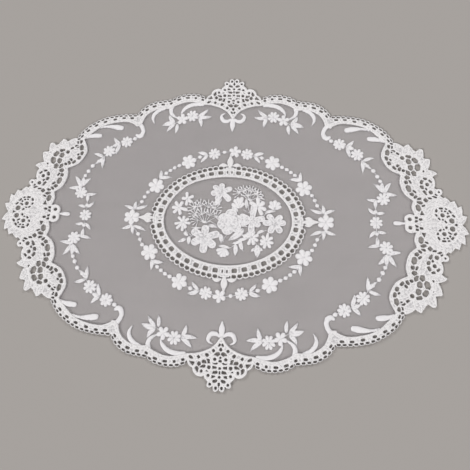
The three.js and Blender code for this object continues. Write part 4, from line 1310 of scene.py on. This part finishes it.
def new_material(name: str, settings: dict[str, float]) -> tuple[Material, "Wiring", Node]:
    """Makes a material with its Principled shader's plain settings.

    Args:
        name: the material's name.
        settings: value of each of the shader's sockets that is the same all over.

    Returns:
        The material, what joins its nodes, and its shader.
    """
    material = bpy.data.materials.new(name)
    material.use_nodes = True
    shader = material.node_tree.nodes["Principled BSDF"]
    for title, value in settings.items():
        shader.inputs[title].default_value = value
    return material, Wiring(material.node_tree), shader


class Wiring:
    """Adds nodes to a tree and joins them."""

    def __init__(self, tree: bpy.types.NodeTree) -> None:
        """Works on one tree."""
        self.tree = tree

    def node(self, kind: str, **values: object) -> Node:
        """Adds a node.

        Args:
            kind: its kind, without the word that all shader nodes start with.
            values: its properties.

        Returns:
            The node.
        """
        node = self.tree.nodes.new(f"ShaderNode{kind}")
        for name, value in values.items():
            setattr(node, name, value)
        return node

    def join(self, source: Socket, target: Socket) -> None:
        """Joins two sockets."""
        self.tree.links.new(source, target)

    def group(self, kind: Shared, place: Socket, **values: float) -> Node:
        """Adds a shared group.

        Args:
            kind: which one.
            place: what its input Place reads.
            values: numbers of its other inputs.

        Returns:
            The group's node.
        """
        node = self.node("Group", node_tree=bpy.data.node_groups[kind.value])
        self.join(place, node.inputs["Place"])
        for title, value in values.items():
            node.inputs[title].default_value = value
        return node

    def math(self, operation: str, *values: float | Socket) -> Socket:
        """Adds a sum or other function.

        Args:
            operation: its name.
            values: the numbers and sockets that it works on.

        Returns:
            The socket of its result.
        """
        node = self.node("Math", operation=operation)
        for socket, value in zip(node.inputs, values):
            if isinstance(value, (int, float)):
                socket.default_value = value
            else:
                self.join(value, socket)
        return node.outputs[0]

    def blend(self, share: float | Socket, low: object, high: object, kind: str = "MIX") -> Socket:
        """Adds a mix of two colours.

        Args:
            share: of the second one.
            low: the first colour, or its socket.
            high: the second.
            kind: how they are mixed.

        Returns:
            The socket of the mixed colour.
        """
        node = self.node("Mix", data_type="RGBA", blend_type=kind)
        for place, value in ((0, share), (6, low), (7, high)):
            if isinstance(value, Socket):
                self.join(value, node.inputs[place])
            else:
                node.inputs[place].default_value = (*value, 1.0) if place else value
        return node.outputs[2]

    def bump(
        self, height: Socket, distance: float, strength: float = 1.0,
        under: Socket | None = None,
    ) -> Socket:
        """Adds a bump.

        Args:
            height: the pattern's height, from nought to one.
            distance: that height in metres.
            strength: how much of it shows.
            under: the normal that it lies on.

        Returns:
            The socket of the normal.
        """
        node = self.node("Bump")
        node.inputs["Distance"].default_value = distance
        node.inputs["Strength"].default_value = strength
        self.join(height, node.inputs["Height"])
        if under is not None:
            self.join(under, node.inputs["Normal"])
        return node.outputs[0]


def thread_lines(noise_scale: float = 900.0, lit: float = 0.3, shaded: float = 0.7) -> None:
    """Makes the group of rounded threads side by side, in which the first UV coordinate runs on.

    The height is one less the square of a triangle wave of that coordinate over the
    pitch, with a slow noise that lets the threads wander. The Shade is painted shade
    from that height: full light on a thread's top, darker in the gap beside it.

    Args:
        noise_scale: of that noise.
        lit: how much lighter the painted shade leaves a thread's top than the gap beside it.
        shaded: the painted shade in the gap.
    """
    group, given, result = new_group(
        Shared.THREADS,
        [("Vector", "Vector", 0), ("Place", "Vector", 0), ("Pitch", "Float", 0.0004),
         ("Wander", "Float", 0.3)],
        [("Height", "Float"), ("Shade", "Float")],
    )
    wire = Wiring(group)
    parts = wire.node("SeparateXYZ")
    wire.join(given.outputs["Vector"], parts.inputs[0])
    noise = wire.node("TexNoise", noise_dimensions="3D")
    noise.inputs["Scale"].default_value = noise_scale
    noise.inputs["Detail"].default_value = 1.0
    wire.join(given.outputs["Place"], noise.inputs["Vector"])
    about_nought = wire.math("SUBTRACT", noise.outputs[0], 0.5)
    sway = wire.math("MULTIPLY", about_nought, given.outputs["Wander"])
    count = wire.math("ADD", wire.math("DIVIDE", parts.outputs[0], given.outputs["Pitch"]), sway)
    ramp = wire.math("MULTIPLY", wire.math("PINGPONG", count, 0.5), 2.0)
    height = wire.math("SUBTRACT", 1.0, wire.math("MULTIPLY", ramp, ramp))
    wire.join(height, result.inputs["Height"])
    # Painted shade: lighter on the thread's top, darker in the gap
    shade = wire.math("ADD", wire.math("MULTIPLY", height, lit), shaded)
    wire.join(shade, result.inputs["Shade"])


def soft_mottle() -> None:
    """Makes the group of slow uneven patches from nought to one, as handled cloth has them."""
    group, given, result = new_group(
        Shared.MOTTLE, [("Place", "Vector", 0), ("Scale", "Float", 60.0)], [("Mask", "Float")],
    )
    wire = Wiring(group)
    noise = wire.node("TexNoise", noise_dimensions="3D")
    noise.inputs["Detail"].default_value = 3.0
    wire.join(given.outputs["Place"], noise.inputs["Vector"])
    wire.join(given.outputs["Scale"], noise.inputs["Scale"])
    wire.join(noise.outputs[0], result.inputs["Mask"])


def hex_net(turn: float = 15.0, sharpness: float = 2.0) -> None:
    """Makes the group of a net's threads with six-sided meshes.

    Three cosine waves, a third of a turn apart, add up to a peak in the middle of each
    mesh. What is left under a limit is thread.

    Args:
        turn: of the first wave, in degrees from X.
        sharpness: how fast thread gives way to gap.
    """
    group, given, result = new_group(
        Shared.NET,
        [("Place", "Vector", 0), ("Mesh", "Float", 0.0011), ("Limit", "Float", -0.5)],
        [("Thread", "Float")],
    )
    wire = Wiring(group)
    parts = wire.node("SeparateXYZ")
    wire.join(given.outputs["Place"], parts.inputs[0])
    waves = []
    for third in (0.0, 120.0, 240.0):
        angle = math.radians(third + turn)
        x = wire.math("MULTIPLY", parts.outputs[0], math.cos(angle))
        y = wire.math("MULTIPLY", parts.outputs[1], math.sin(angle))
        phase = wire.math("DIVIDE", wire.math("ADD", x, y), given.outputs["Mesh"])
        waves.append(wire.math("COSINE", wire.math("MULTIPLY", phase, 2 * math.pi)))
    total = wire.math("ADD", wire.math("ADD", waves[0], waves[1]), waves[2])
    under = wire.math("SUBTRACT", given.outputs["Limit"], total)
    thread = wire.node("Clamp")
    wire.join(wire.math("ADD", wire.math("MULTIPLY", under, sharpness), 0.5), thread.inputs[0])
    wire.join(thread.outputs[0], result.inputs["Thread"])


@dataclass(frozen=True)
class ThreadFinish:
    """White cotton satin stitch, with painted shade on its low ground and between threads."""

    name: str  # of the material
    bright: tuple[float, float, float]  # the thread's own colour, on top of the stitches
    shade_and_grain: tuple[float, float, float]  # colour of the painted shade on the low ground between the stitches, and the dark end of the grain
    full_rise: float  # height at which the painted shade is gone, in millimetres
    pitch: float  # width of a thread, in metres
    bump: float  # height of a thread, in metres
    bump_strength: float = 0.6  # how much of that height shows
    shading: float = 0.5  # how much the painted shade in the gaps between threads darkens the colour
    grain: float = 3.0  # how much of the step between the two colours the knotty grain takes
    grain_scale: float = 420.0  # its scale, in patches to the metre
    grain_bump: float = 0.0003  # its height, in metres
    roughness: float = 0.62  # of the shader
    sheen: float = 0.15  # its sheen
    sheen_roughness: float = 0.4  # roughness of that sheen
    specular: float = 0.3  # its specular level

    def material(self) -> Material:
        """Makes the finish.

        Returns:
            Its material.
        """
        material, wire, shader = new_material(self.name, {
            "Roughness": self.roughness, "Sheen Weight": self.sheen,
            "Sheen Roughness": self.sheen_roughness, "Specular IOR Level": self.specular,
        })
        place = wire.node("TexCoord").outputs["Object"]
        threads = wire.node("UVMap", uv_map="Threads")
        lines = wire.group(Shared.THREADS, place, Pitch=self.pitch)
        wire.join(threads.outputs[0], lines.inputs["Vector"])
        mottle = wire.group(Shared.MOTTLE, place, Scale=self.grain_scale).outputs[0]
        # Painted shade: the lower the stitching, the nearer the colour is to the shaded one
        relief = wire.node("Attribute", attribute_name="relief")
        share = wire.math("DIVIDE", relief.outputs["Fac"], self.full_rise)
        patch = wire.math("MULTIPLY", wire.math("SUBTRACT", mottle, 0.5), self.grain)
        limited = wire.node("Clamp")
        wire.join(wire.math("ADD", share, patch), limited.inputs[0])
        colour = wire.blend(limited.outputs[0], self.shade_and_grain, self.bright)
        # Painted shade between the threads, full light on their tops
        colour = wire.blend(self.shading, colour, lines.outputs["Shade"], "MULTIPLY")
        wire.join(colour, shader.inputs["Base Color"])
        threaded = wire.bump(lines.outputs["Height"], self.bump, self.bump_strength)
        wire.join(wire.bump(mottle, self.grain_bump, under=threaded), shader.inputs["Normal"])
        return material


@dataclass(frozen=True)
class NetFinish:
    """Fine white net with six-sided meshes."""

    name: str  # of the material
    light: tuple[float, float, float]  # colour of the threads
    dark: tuple[float, float, float]  # their colour in the slow darker patches
    mesh: float  # from one row of meshes to the next, in metres
    limit: float  # how much of the pattern is thread
    bump: float = 0.0001  # height of a thread, in metres
    patch_scale: float = 70.0  # scale of the patches, in patches to the metre
    # Their scale along each axis, less where they are longer
    drawn_out: tuple[float, float, float] = (0.22, 1.0, 1.0)
    roughness: float = 0.9  # of the shader
    specular: float = 0.2  # its specular level

    def material(self) -> Material:
        """Makes the finish, seen through between its threads.

        Returns:
            Its material.
        """
        material, wire, shader = new_material(
            self.name, {"Roughness": self.roughness, "Specular IOR Level": self.specular})
        place = wire.node("TexCoord").outputs["Object"]
        thread = wire.group(Shared.NET, place, Mesh=self.mesh, Limit=self.limit).outputs["Thread"]
        stretch = wire.node("Mapping")
        stretch.inputs["Scale"].default_value = self.drawn_out
        wire.join(place, stretch.inputs["Vector"])
        mottle = wire.group(Shared.MOTTLE, stretch.outputs[0], Scale=self.patch_scale)
        colour = wire.blend(mottle.outputs[0], self.dark, self.light)
        wire.join(colour, shader.inputs["Base Color"])
        wire.join(thread, shader.inputs["Alpha"])
        wire.join(wire.bump(thread, self.bump), shader.inputs["Normal"])
        return material


# Each thread finish's second colour is painted shade for the low ground, and the dark end of its
# grain
LACE_FINISH = ThreadFinish(
    "Lace thread", bright=(0.89, 0.865, 0.865), shade_and_grain=(0.54, 0.52, 0.53),
    full_rise=0.3, pitch=0.00042, bump=0.00012)
SATIN_FINISH = ThreadFinish(
    "Satin stitch", bright=(0.90, 0.875, 0.885), shade_and_grain=(0.50, 0.48, 0.495),
    full_rise=0.5, pitch=0.00038, bump=0.0001)
NET_FINISH = NetFinish(
    "Cotton net", light=(0.645, 0.607, 0.626), dark=(0.552, 0.52, 0.538),
    mesh=0.00115, limit=-0.72)


# ---- Sub-assemblies -----------------------------------------------------------------


class Worked:
    """A sub-assembly that is worked as one piece, with a name and the solid it replaces."""

    name: str
    node: str

    def surface(self) -> Surface:
        """The piece's surface, which each kind works out for itself."""
        raise NotImplementedError

    def build(self, material: Material) -> Object:
        """The piece in the scene, in a finish."""
        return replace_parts(make_piece(self.name, self.surface(), material), self.node)


def net_side() -> list[Array]:
    """The border's edge on the net's side, one sampled run after the other."""
    return [smooth(points, NET_SIDE_STEP) for _, points in NET_SIDE]


@dataclass
class LaceBorder:
    """The openwork border with its picots, crests and lace ends, in millimetres."""

    node: str = "lace_border"  # the solid that it replaces
    cut_x: float = 129.8  # where the ends are cut from the sides
    picot_hole: tuple[float, float] = (3.8, 1.5)  # size of a picot's slot
    picot_half: float = 2.1  # half width of a picot
    picot_run: float = 1.3  # half length of its straight part
    picot_rise: float = 0.12  # its height
    picot_lap: float = 0.3  # how far the picots lap over the ground
    cord: float = 1.6  # width of the rails along the ladder row
    rails: tuple[float, float] = (4.1, 8.4)  # how far the rails lie inside the edge
    rail_rise: float = 0.3  # their height
    band_rise: float = 0.45  # height of the satin bands, leaves and cords
    end_growth: float = 1.3  # how much larger than their rows the ends' openings are cut
    fan_growth: float = 0.6  # the same for the fans'
    crest_growth: float = 0.8  # the same for the crests'
    ladder_growth: float = 0.4  # the same for the ladder row's
    picot_growth: float = 0.8  # the same for the picots'
    # The border's meshes, once they are built
    pieces: list[Object] = field(default_factory=list)

    def outline(self) -> Array:
        """Joins the runs of the edge, without the picots.

        Returns:
            The closed outline of the plain ground.
        """
        inset = PICOT_INSET + self.picot_lap
        crest = [np.array([CREST_TOP])] + [arc(*row) for row in CREST_ARCS]
        picots = [moved_left(smooth(points, OUTLINE_STEP), -inset) for points in PICOT_RUNS]
        lobes = bulged([spot for pair in LOBE_LEAVES for spot in pair])
        fan = bulged([spot for pair in FAN_LEAVES for spot in pair] + [FAN_MIDDLE])
        outside = np.vstack([*crest, *picots, lobes, *(arc(*row) for row in LOBE_ARCS), fan])
        inside = np.vstack(net_side())[::-1]
        across_x = [[FAN_MIDDLE[0], -PAST_AXIS], [inside[0, 0], -PAST_AXIS]]
        first, last = [[-PAST_AXIS, CREST_TOP[1]]], [[-PAST_AXIS, inside[-1, 1]]]
        return np.vstack([first, outside, across_x, inside, last])

    def add_picots(self, relief: Relief) -> Iterable[Hole]:
        """Adds the loops along the scalloped edge.

        Args:
            relief: the border so far.

        Yields:
            The slot of each loop.
        """
        for points in PICOT_RUNS:
            edge = moved_left(smooth(points), -PICOT_INSET)
            total = float(np.hypot(*np.diff(edge, axis=0).T).sum())
            count = round(total / PICOT_PITCH)
            spots, headings = at_lengths(edge, (np.arange(count) + 0.5) * total / count)
            for (x, y), (dx, dy) in zip(spots, headings):
                loop = cord(stub(x, y, (dx, dy), self.picot_run), 2 * self.picot_half)
                relief.stroke(loop, self.picot_rise)
                yield Hole(x, y, *self.picot_hole, math.degrees(math.atan2(dy, dx)))

    def relief(self) -> Relief:
        """Lays ground and picots, then bands, rails and leaves, cuts it, and cords it.

        Returns:
            The first quarter of the border.
        """
        relief = Relief(QUARTER)
        relief.fill(self.outline())
        picots = list(self.add_picots(relief))
        for width, points in NET_SIDE:
            if width:
                band = with_width(moved_left(smooth(points), width / 2), width)
                relief.stroke(band, self.band_rise, Profile.RIMMED)
        for points in PICOT_RUNS:
            edge = smooth(points)
            for inset in self.rails:
                relief.stroke(with_width(moved_left(edge, -inset), self.cord), self.rail_rise)
        for points in BORDER_LEAVES:
            relief.stroke(tapered(points), self.band_rise, Profile.RIMMED, over=True)
        sets = (
            (END_HOLES, self.end_growth), (FAN_HOLES, self.fan_growth),
            (CREST_HOLES, self.crest_growth), (LADDER_HOLES, self.ladder_growth),
            (picots, self.picot_growth),
        )
        relief.pierce([hole.grown(by) for holes, by in sets for hole in holes])
        for points in BORDER_CORDS:
            relief.stroke(tapered(points), self.band_rise)
        for disc in BORDER_RINGS:
            relief.ring(disc, self.band_rise)
        relief.corded()
        return relief

    def build(self, material: Material) -> list[Object]:
        """Builds the border.

        Args:
            material: its finish.

        Returns:
            Its two long sides and its two lace ends.
        """
        plane = self.relief().whole()
        far, wide = QUARTER.high[1], QUARTER.high[0]
        parts = {
            "border_far_side": ((-self.cut_x, 0.0), (self.cut_x, far)),
            "border_near_side": ((-self.cut_x, -far), (self.cut_x, 0.0)),
            "border_left_end": ((-wide, -far), (-self.cut_x, far)),
            "border_right_end": ((self.cut_x, -far), (wide, far)),
        }
        for name, (low, high) in parts.items():
            piece = make_piece(name, cut_out(plane, low, high, LACE), material)
            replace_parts(piece, self.node)
            self.pieces.append(piece)
        return self.pieces


@dataclass
class MedallionRing(Worked):
    """The openwork ring round the medallion, with its square holes and edge of loops."""

    name: str = "medallion_lace_ring"
    node: str = "medallion_ring"
    square: tuple[float, float] = (6.4, 5.7)  # size of a square hole
    loop_hole: tuple[float, float] = (4.8, 6.2)  # size of a loop's hole
    loop_half: float = 4.0  # half width of a loop
    loop_run: float = 0.3  # half length of its straight part
    loop_rise: float = 0.05  # its height
    cord: float = 2.4  # width of the two cords
    rise: float = 0.4  # their height
    band_rise: float = 0.6  # height of the leaves on its outside
    reach: float = 22.0  # how far those leaves reach past its edge
    ground: Relief | None = None  # the ring before it is cut, with all inside it, once it is built

    def squares(self) -> Iterable[Hole]:
        """Works out the square holes between the two cords.

        Yields:
            Each hole, turned along the oval.
        """
        for degrees in RING_HOLES:
            angle = math.radians(degrees)
            cosine, sine = math.cos(angle), math.sin(angle)
            heading = math.degrees(math.atan2(RING_LADDER[1] * cosine, -RING_LADDER[0] * sine))
            yield Hole(RING_LADDER[0] * cosine, RING_LADDER[1] * sine, *self.square, heading)

    def slots(self) -> Iterable[Hole]:
        """The hole of each loop, its flat side inwards."""
        for x, y, turn in self.loops():
            yield Hole(x, y, *self.loop_hole, turn + 90.0, 5)

    def loops(self) -> Iterable[tuple[float, float, float]]:
        """Works out the loops of the outer edge.

        Yields:
            Place and turn of each loop.
        """
        places = FIRST_LOOP + LOOP_PITCH * np.arange(LOOP_COUNT)
        for (x, y), (dx, dy) in zip(*at_lengths(oval(RING_LOOPS), places)):
            yield x, y, math.degrees(math.atan2(dy, dx))

    def relief(self) -> Relief:
        """Lays the ring, keeps its ground for the nets, then cuts and cords it.

        Returns:
            The first quarter of the ring.
        """
        relief = Relief(QUARTER)
        half_width = ((RING_LOOPS[0] - RING_INNER[0]) / 2, (RING_LOOPS[1] - RING_INNER[1]) / 2)
        middle = (RING_INNER[0] + half_width[0], RING_INNER[1] + half_width[1])
        relief.stroke(with_width(oval(middle), 2 * half_width[0]), 0.0)
        for x, y, turn in self.loops():
            heading = (math.cos(math.radians(turn)), math.sin(math.radians(turn)))
            loop = cord(stub(x, y, heading, self.loop_run), 2 * self.loop_half)
            relief.stroke(loop, self.loop_rise)
        self.ground = Relief(QUARTER)
        inside = 1.0 - np.hypot(relief.x[:, None] / middle[0], relief.y / middle[1])
        self.ground.level = np.maximum(relief.level, middle[1] * inside)
        relief.pierce((*self.squares(), *self.slots(), *RING_SLOTS))
        inner_cord = (RING_INNER[0] + self.cord / 2, RING_INNER[1] + self.cord / 2)
        for half in (RING_CORD, inner_cord):
            relief.stroke(with_width(oval(half), self.cord), self.rise)
        for points in RING_BANDS:
            relief.stroke(tapered(points), self.band_rise, Profile.VEINED, over=True)
        relief.corded()
        return relief

    def surface(self) -> Surface:
        """The ring cut out of its whole relief."""
        reach = RING_EDGE + self.reach
        return cut_out(self.relief().whole(), (-reach, -reach), (reach, reach), LACE)


@dataclass
class Embroidery(Worked):
    """Satin stitch motifs of one mirrored layout."""

    name: str  # the piece's name
    node: str  # the solid whose motifs these are
    flowers: Sequence[Flower]  # the flowers
    leaves: Sequence[Leaf]  # the leaves
    beads: Sequence[Disc]  # the beads
    cords: Sequence[Sequence[tuple[float, float]]]  # the stems
    bands: Sequence[Sequence[tuple[float, float, float]]] = ()  # the bands, with their widths
    middle: Sequence[Flower] = ()  # flowers that have no mirror image
    middle_beads: Sequence[Disc] = ()  # beads that have none
    rise: float = 0.85  # height of flowers and bands
    low: float = 0.9  # height of leaves and beads, as a share of that
    cord_rise: float = 0.25  # height of the stems
    cord_width: float = 1.2  # their width

    def relief(self) -> Relief:
        """Lays the motifs from the lowest to the highest.

        Returns:
            Their first quarter, those over an axis drawn on both sides of it.
        """
        relief = Relief(QUARTER)
        for points in self.cords:
            relief.stroke(cord(points, self.cord_width), self.cord_rise)
        for points in self.bands:
            relief.stroke(tapered(points), self.rise)
        for leaf in self.leaves:
            relief.stroke(leaf_path(leaf), self.rise * self.low, Profile.VEINED, over=True)
        self._add_flowers(relief, self.flowers, self.beads)
        return relief

    def _add_flowers(
        self, relief: Relief, flowers: Sequence[Flower], beads: Sequence[Disc],
    ) -> None:
        """Adds flowers and beads.

        Args:
            relief: the motifs so far.
            flowers: the flowers.
            beads: the beads.
        """
        for flower in flowers:
            relief.bloom(flower.bloom(), self.rise)
        for bead in beads:
            relief.bead(bead, self.rise * self.low)

    def surface(self) -> Surface:
        """Mirrors the motifs, adds those that have no mirror image, and cuts them out.

        Returns:
            All the motifs.
        """
        plane = self.relief().whole()
        self._add_flowers(plane, self.middle, self.middle_beads)
        return cut_out(plane, plane.grid.low, plane.grid.high, SATIN)


@dataclass
class Bouquet(Worked):
    """The medallion's bouquet: fans of thread, leaves, flowers and a rose on top."""

    name: str = "bouquet"  # the piece's name
    node: str = "medallion_net"  # the solid whose motif it is
    rise: float = 0.85  # height of its flowers
    low: float = 0.85  # height of its leaves, as a share of that
    rays: int = 6  # number of rays in a tuft
    spread: float = 72.0  # from a tuft's middle ray to its outer ones, in degrees
    root: float = 0.35  # from a tuft's middle back to its root, as a share of its reach
    # A ray's places, as shares of that reach, with its width at each
    ray: tuple[tuple[float, float], ...] = ((0.1, 0.45), (0.55, 0.6), (1.0, 0.9))
    ray_rise: float = 0.75  # height of the rays
    stalk: tuple[float, float] = (1.1, 0.5)  # width and height of a tuft's stalk
    stem: tuple[float, float] = (1.3, 0.3)  # width and height of the stems
    large: float = 3.5  # half width from which a flower's petals are plain with a raised edge

    def add_spray(self, relief: Relief, spray: Spray) -> None:
        """Adds tufts of fine rays, each on a stalk from the spray's foot.

        Args:
            relief: the bouquet so far.
            spray: the tufts' row of the layout.
        """
        shares, halves = np.hsplit(np.array(self.ray), 2)
        for x, y, heading in spray.tufts:
            facing = np.array([math.cos(math.radians(heading)), math.sin(math.radians(heading))])
            root = np.array([x, y]) - self.root * spray.reach * facing
            relief.stroke(cord([(spray.x, spray.y), root], self.stalk[0]), self.stalk[1])
            outer = np.linspace(heading - self.spread, heading + self.spread, self.rays)
            for angle in np.radians(outer):
                direction = np.array([math.cos(angle), math.sin(angle)])
                places = direction * (shares * spray.reach) + root
                relief.stroke(smooth(np.hstack([places, halves]), CORD_STEP), self.ray_rise)

    def relief(self) -> Relief:
        """Lays the bouquet from its lowest layer to its highest.

        Returns:
            The whole bouquet.
        """
        relief = Relief(MEDALLION)
        for spray in BOUQUET_SPRAYS:
            self.add_spray(relief, spray)
        for points in BOUQUET_CORDS:
            relief.stroke(cord(points, self.stem[0]), self.stem[1])
        for leaf in BOUQUET_LEAVES:
            relief.stroke(leaf_path(leaf), self.rise * self.low, Profile.VEINED, over=True)
        for bloom in (*BOUQUET_BLOOMS, *ROSE_BLOOMS):
            profile = Profile.RIMMED if bloom.half > self.large else Profile.DOME
            relief.bloom(bloom, self.rise, profile)
        for points in ROSE_FOLDS:
            relief.stroke(tapered(points), self.rise, over=True)
        return relief

    def surface(self) -> Surface:
        """The bouquet cut out of its relief."""
        return cut_out(self.relief(), MEDALLION.low, MEDALLION.high, SATIN)


@dataclass
class Nets:
    """The net ground and the net oval of the medallion, each tucked under its lace."""

    tuck: float = 0.6  # how far a net goes under the lace, in millimetres
    sides: int = 240  # number of sides of the medallion's oval
    # Length and width that the ground is cut from, in metres
    flat_ground: tuple[float, float] = (0.468, 0.340)
    ground_area: float = 0.106  # its area, in square metres
    # Length and width of the medallion's oval
    flat_medallion: tuple[float, float] = (0.1632, 0.1222)
    medallion_area: float = 0.01566  # its area

    def ground(self, ring_ground: Relief, material: Material) -> Object:
        """Builds the ground, inside the border's edge and outside the ring.

        Args:
            ring_ground: the ring with all inside it.
            material: the net's finish.

        Returns:
            Its mesh's object.
        """
        relief = Relief(QUARTER)
        edge = np.vstack(net_side())
        behind = [[edge[-1, 0], -PAST_AXIS], [-PAST_AXIS, -PAST_AXIS]]
        relief.fill(np.vstack([[[-PAST_AXIS, edge[0, 1]]], edge, behind]))
        relief.level = np.minimum(relief.level, -ring_ground.level) + self.tuck
        surface = sheet_of(relief.whole())
        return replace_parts(make_piece("net_ground_sheet", surface, material), "net_ground")

    def medallion(self, material: Material) -> Object:
        """Builds the oval inside the ring.

        Args:
            material: the net's finish.

        Returns:
            Its mesh's object.
        """
        relief = Relief(MEDALLION)
        angle = np.linspace(0.0, 2 * math.pi, self.sides + 1)[:-1]
        half = (RING_INNER[0] + self.tuck, RING_INNER[1] + self.tuck)
        outline = np.column_stack([half[0] * np.cos(angle), half[1] * np.sin(angle)])
        relief.fill(outline, soften=0)
        surface = sheet_of(relief)
        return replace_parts(make_piece("medallion_net_sheet", surface, material), "medallion_net")


# ---- Stage --------------------------------------------------------------------------


@dataclass(frozen=True)
class Studio:
    """Floor, lights and camera."""

    floor_half: float = 4.0  # half length of the floor's sides, in metres
    floor_drop: float = 0.0001  # how far it lies under the cloth
    floor_colour: tuple[float, float, float] = (0.386, 0.361, 0.342)  # its colour
    sky: float = 0.16  # strength of the even light from all round
    softbox_angle: float = 14.0  # how wide a softbox is seen, in degrees
    # Azimuth, height in degrees and energy of each
    softboxes: tuple[tuple[float, float, float], ...] = (
        (225.0, 31.0, 1.9), (315.0, 29.0, 1.1), (135.0, 29.0, 1.3), (45.0, 29.0, 1.0),
    )
    # The camera's place, in metres
    camera_place: tuple[float, float, float] = (0.03522, -0.12813, 0.43310)
    # Its turn about each axis, in degrees
    camera_turn: tuple[float, float, float] = (13.990, 2.605, 2.587)
    lens: float = 27.045  # its focal length, in millimetres
    sensor: float = 36.0  # width of its sensor
    near: float = 0.01  # nearest distance that it sees, in metres

    def build(self) -> None:
        """Adds them to the scene."""
        scene = bpy.context.scene
        scene.view_settings.view_transform = "Standard"
        self._add_floor(scene)
        world = bpy.data.worlds.new("Studio light")
        world.use_nodes = True
        background = world.node_tree.nodes["Background"]
        background.inputs["Color"].default_value = (1.0, 1.0, 1.0, 1.0)
        background.inputs["Strength"].default_value = self.sky
        scene.world = world
        for azimuth, height, energy in self.softboxes:
            lamp = bpy.data.lights.new("Softbox", "SUN")
            lamp.energy = energy
            lamp.angle = math.radians(self.softbox_angle)
            light = bpy.data.objects.new("Softbox", lamp)
            tilt, turn = math.radians(90.0 - height), math.radians(azimuth + 90.0)
            light.rotation_euler = Euler((tilt, 0.0, turn))
            scene.collection.objects.link(light)
        camera = bpy.data.objects.new("Camera", bpy.data.cameras.new("Camera"))
        camera.data.lens = self.lens
        camera.data.sensor_width = self.sensor
        camera.data.clip_start = self.near
        camera.location = self.camera_place
        camera.rotation_euler = Euler([math.radians(a) for a in self.camera_turn])
        scene.collection.objects.link(camera)
        scene.camera = camera

    def _add_floor(self, scene: bpy.types.Scene) -> None:
        """Adds a plain pale floor just under the cloth.

        Args:
            scene: where it is added.
        """
        mesh = bpy.data.meshes.new("Floor")
        h, z = self.floor_half, -self.floor_drop
        mesh.from_pydata([(-h, -h, z), (h, -h, z), (h, h, z), (-h, h, z)], [], [(0, 1, 2, 3)])
        material, _, shader = new_material(
            "Floor paper", {"Roughness": 1.0, "Specular IOR Level": 0.0})
        shader.inputs["Base Color"].default_value = (*self.floor_colour, 1.0)
        mesh.materials.append(material)
        floor = bpy.data.objects.new("Floor", mesh)
        scene.collection.objects.link(floor)


def main() -> None:
    """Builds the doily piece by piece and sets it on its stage."""
    logging.basicConfig(level=logging.INFO, format="%(name)s: %(message)s")
    Studio().build()
    for make_group in (thread_lines, soft_mottle, hex_net):
        make_group()
    lace, satin, net = LACE_FINISH.material(), SATIN_FINISH.material(), NET_FINISH.material()
    border = LaceBorder().build(lace)
    ring_maker = MedallionRing()
    ring = ring_maker.build(lace)
    sprays = Embroidery(
        "outer_sprays", "net_ground", OUTER_FLOWERS, OUTER_LEAVES, OUTER_BEADS, OUTER_CORDS,
        NET_BANDS).build(satin)
    wreath = Embroidery(
        "inner_wreath", "net_ground", WREATH_FLOWERS, WREATH_LEAVES, WREATH_BEADS, WREATH_CORDS,
        middle=WREATH_MIDDLE, middle_beads=WREATH_MIDDLE_BEADS).build(satin)
    bouquet = Bouquet().build(satin)
    nets = Nets()
    ground = nets.ground(ring_maker.ground, net)
    oval_net = nets.medallion(net)
    for piece in (*border, ring, sprays, wreath, bouquet):
        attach(piece, "root")
    for piece in (ground, oval_net):
        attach(piece, "root")


if __name__ == "__main__":
    main()
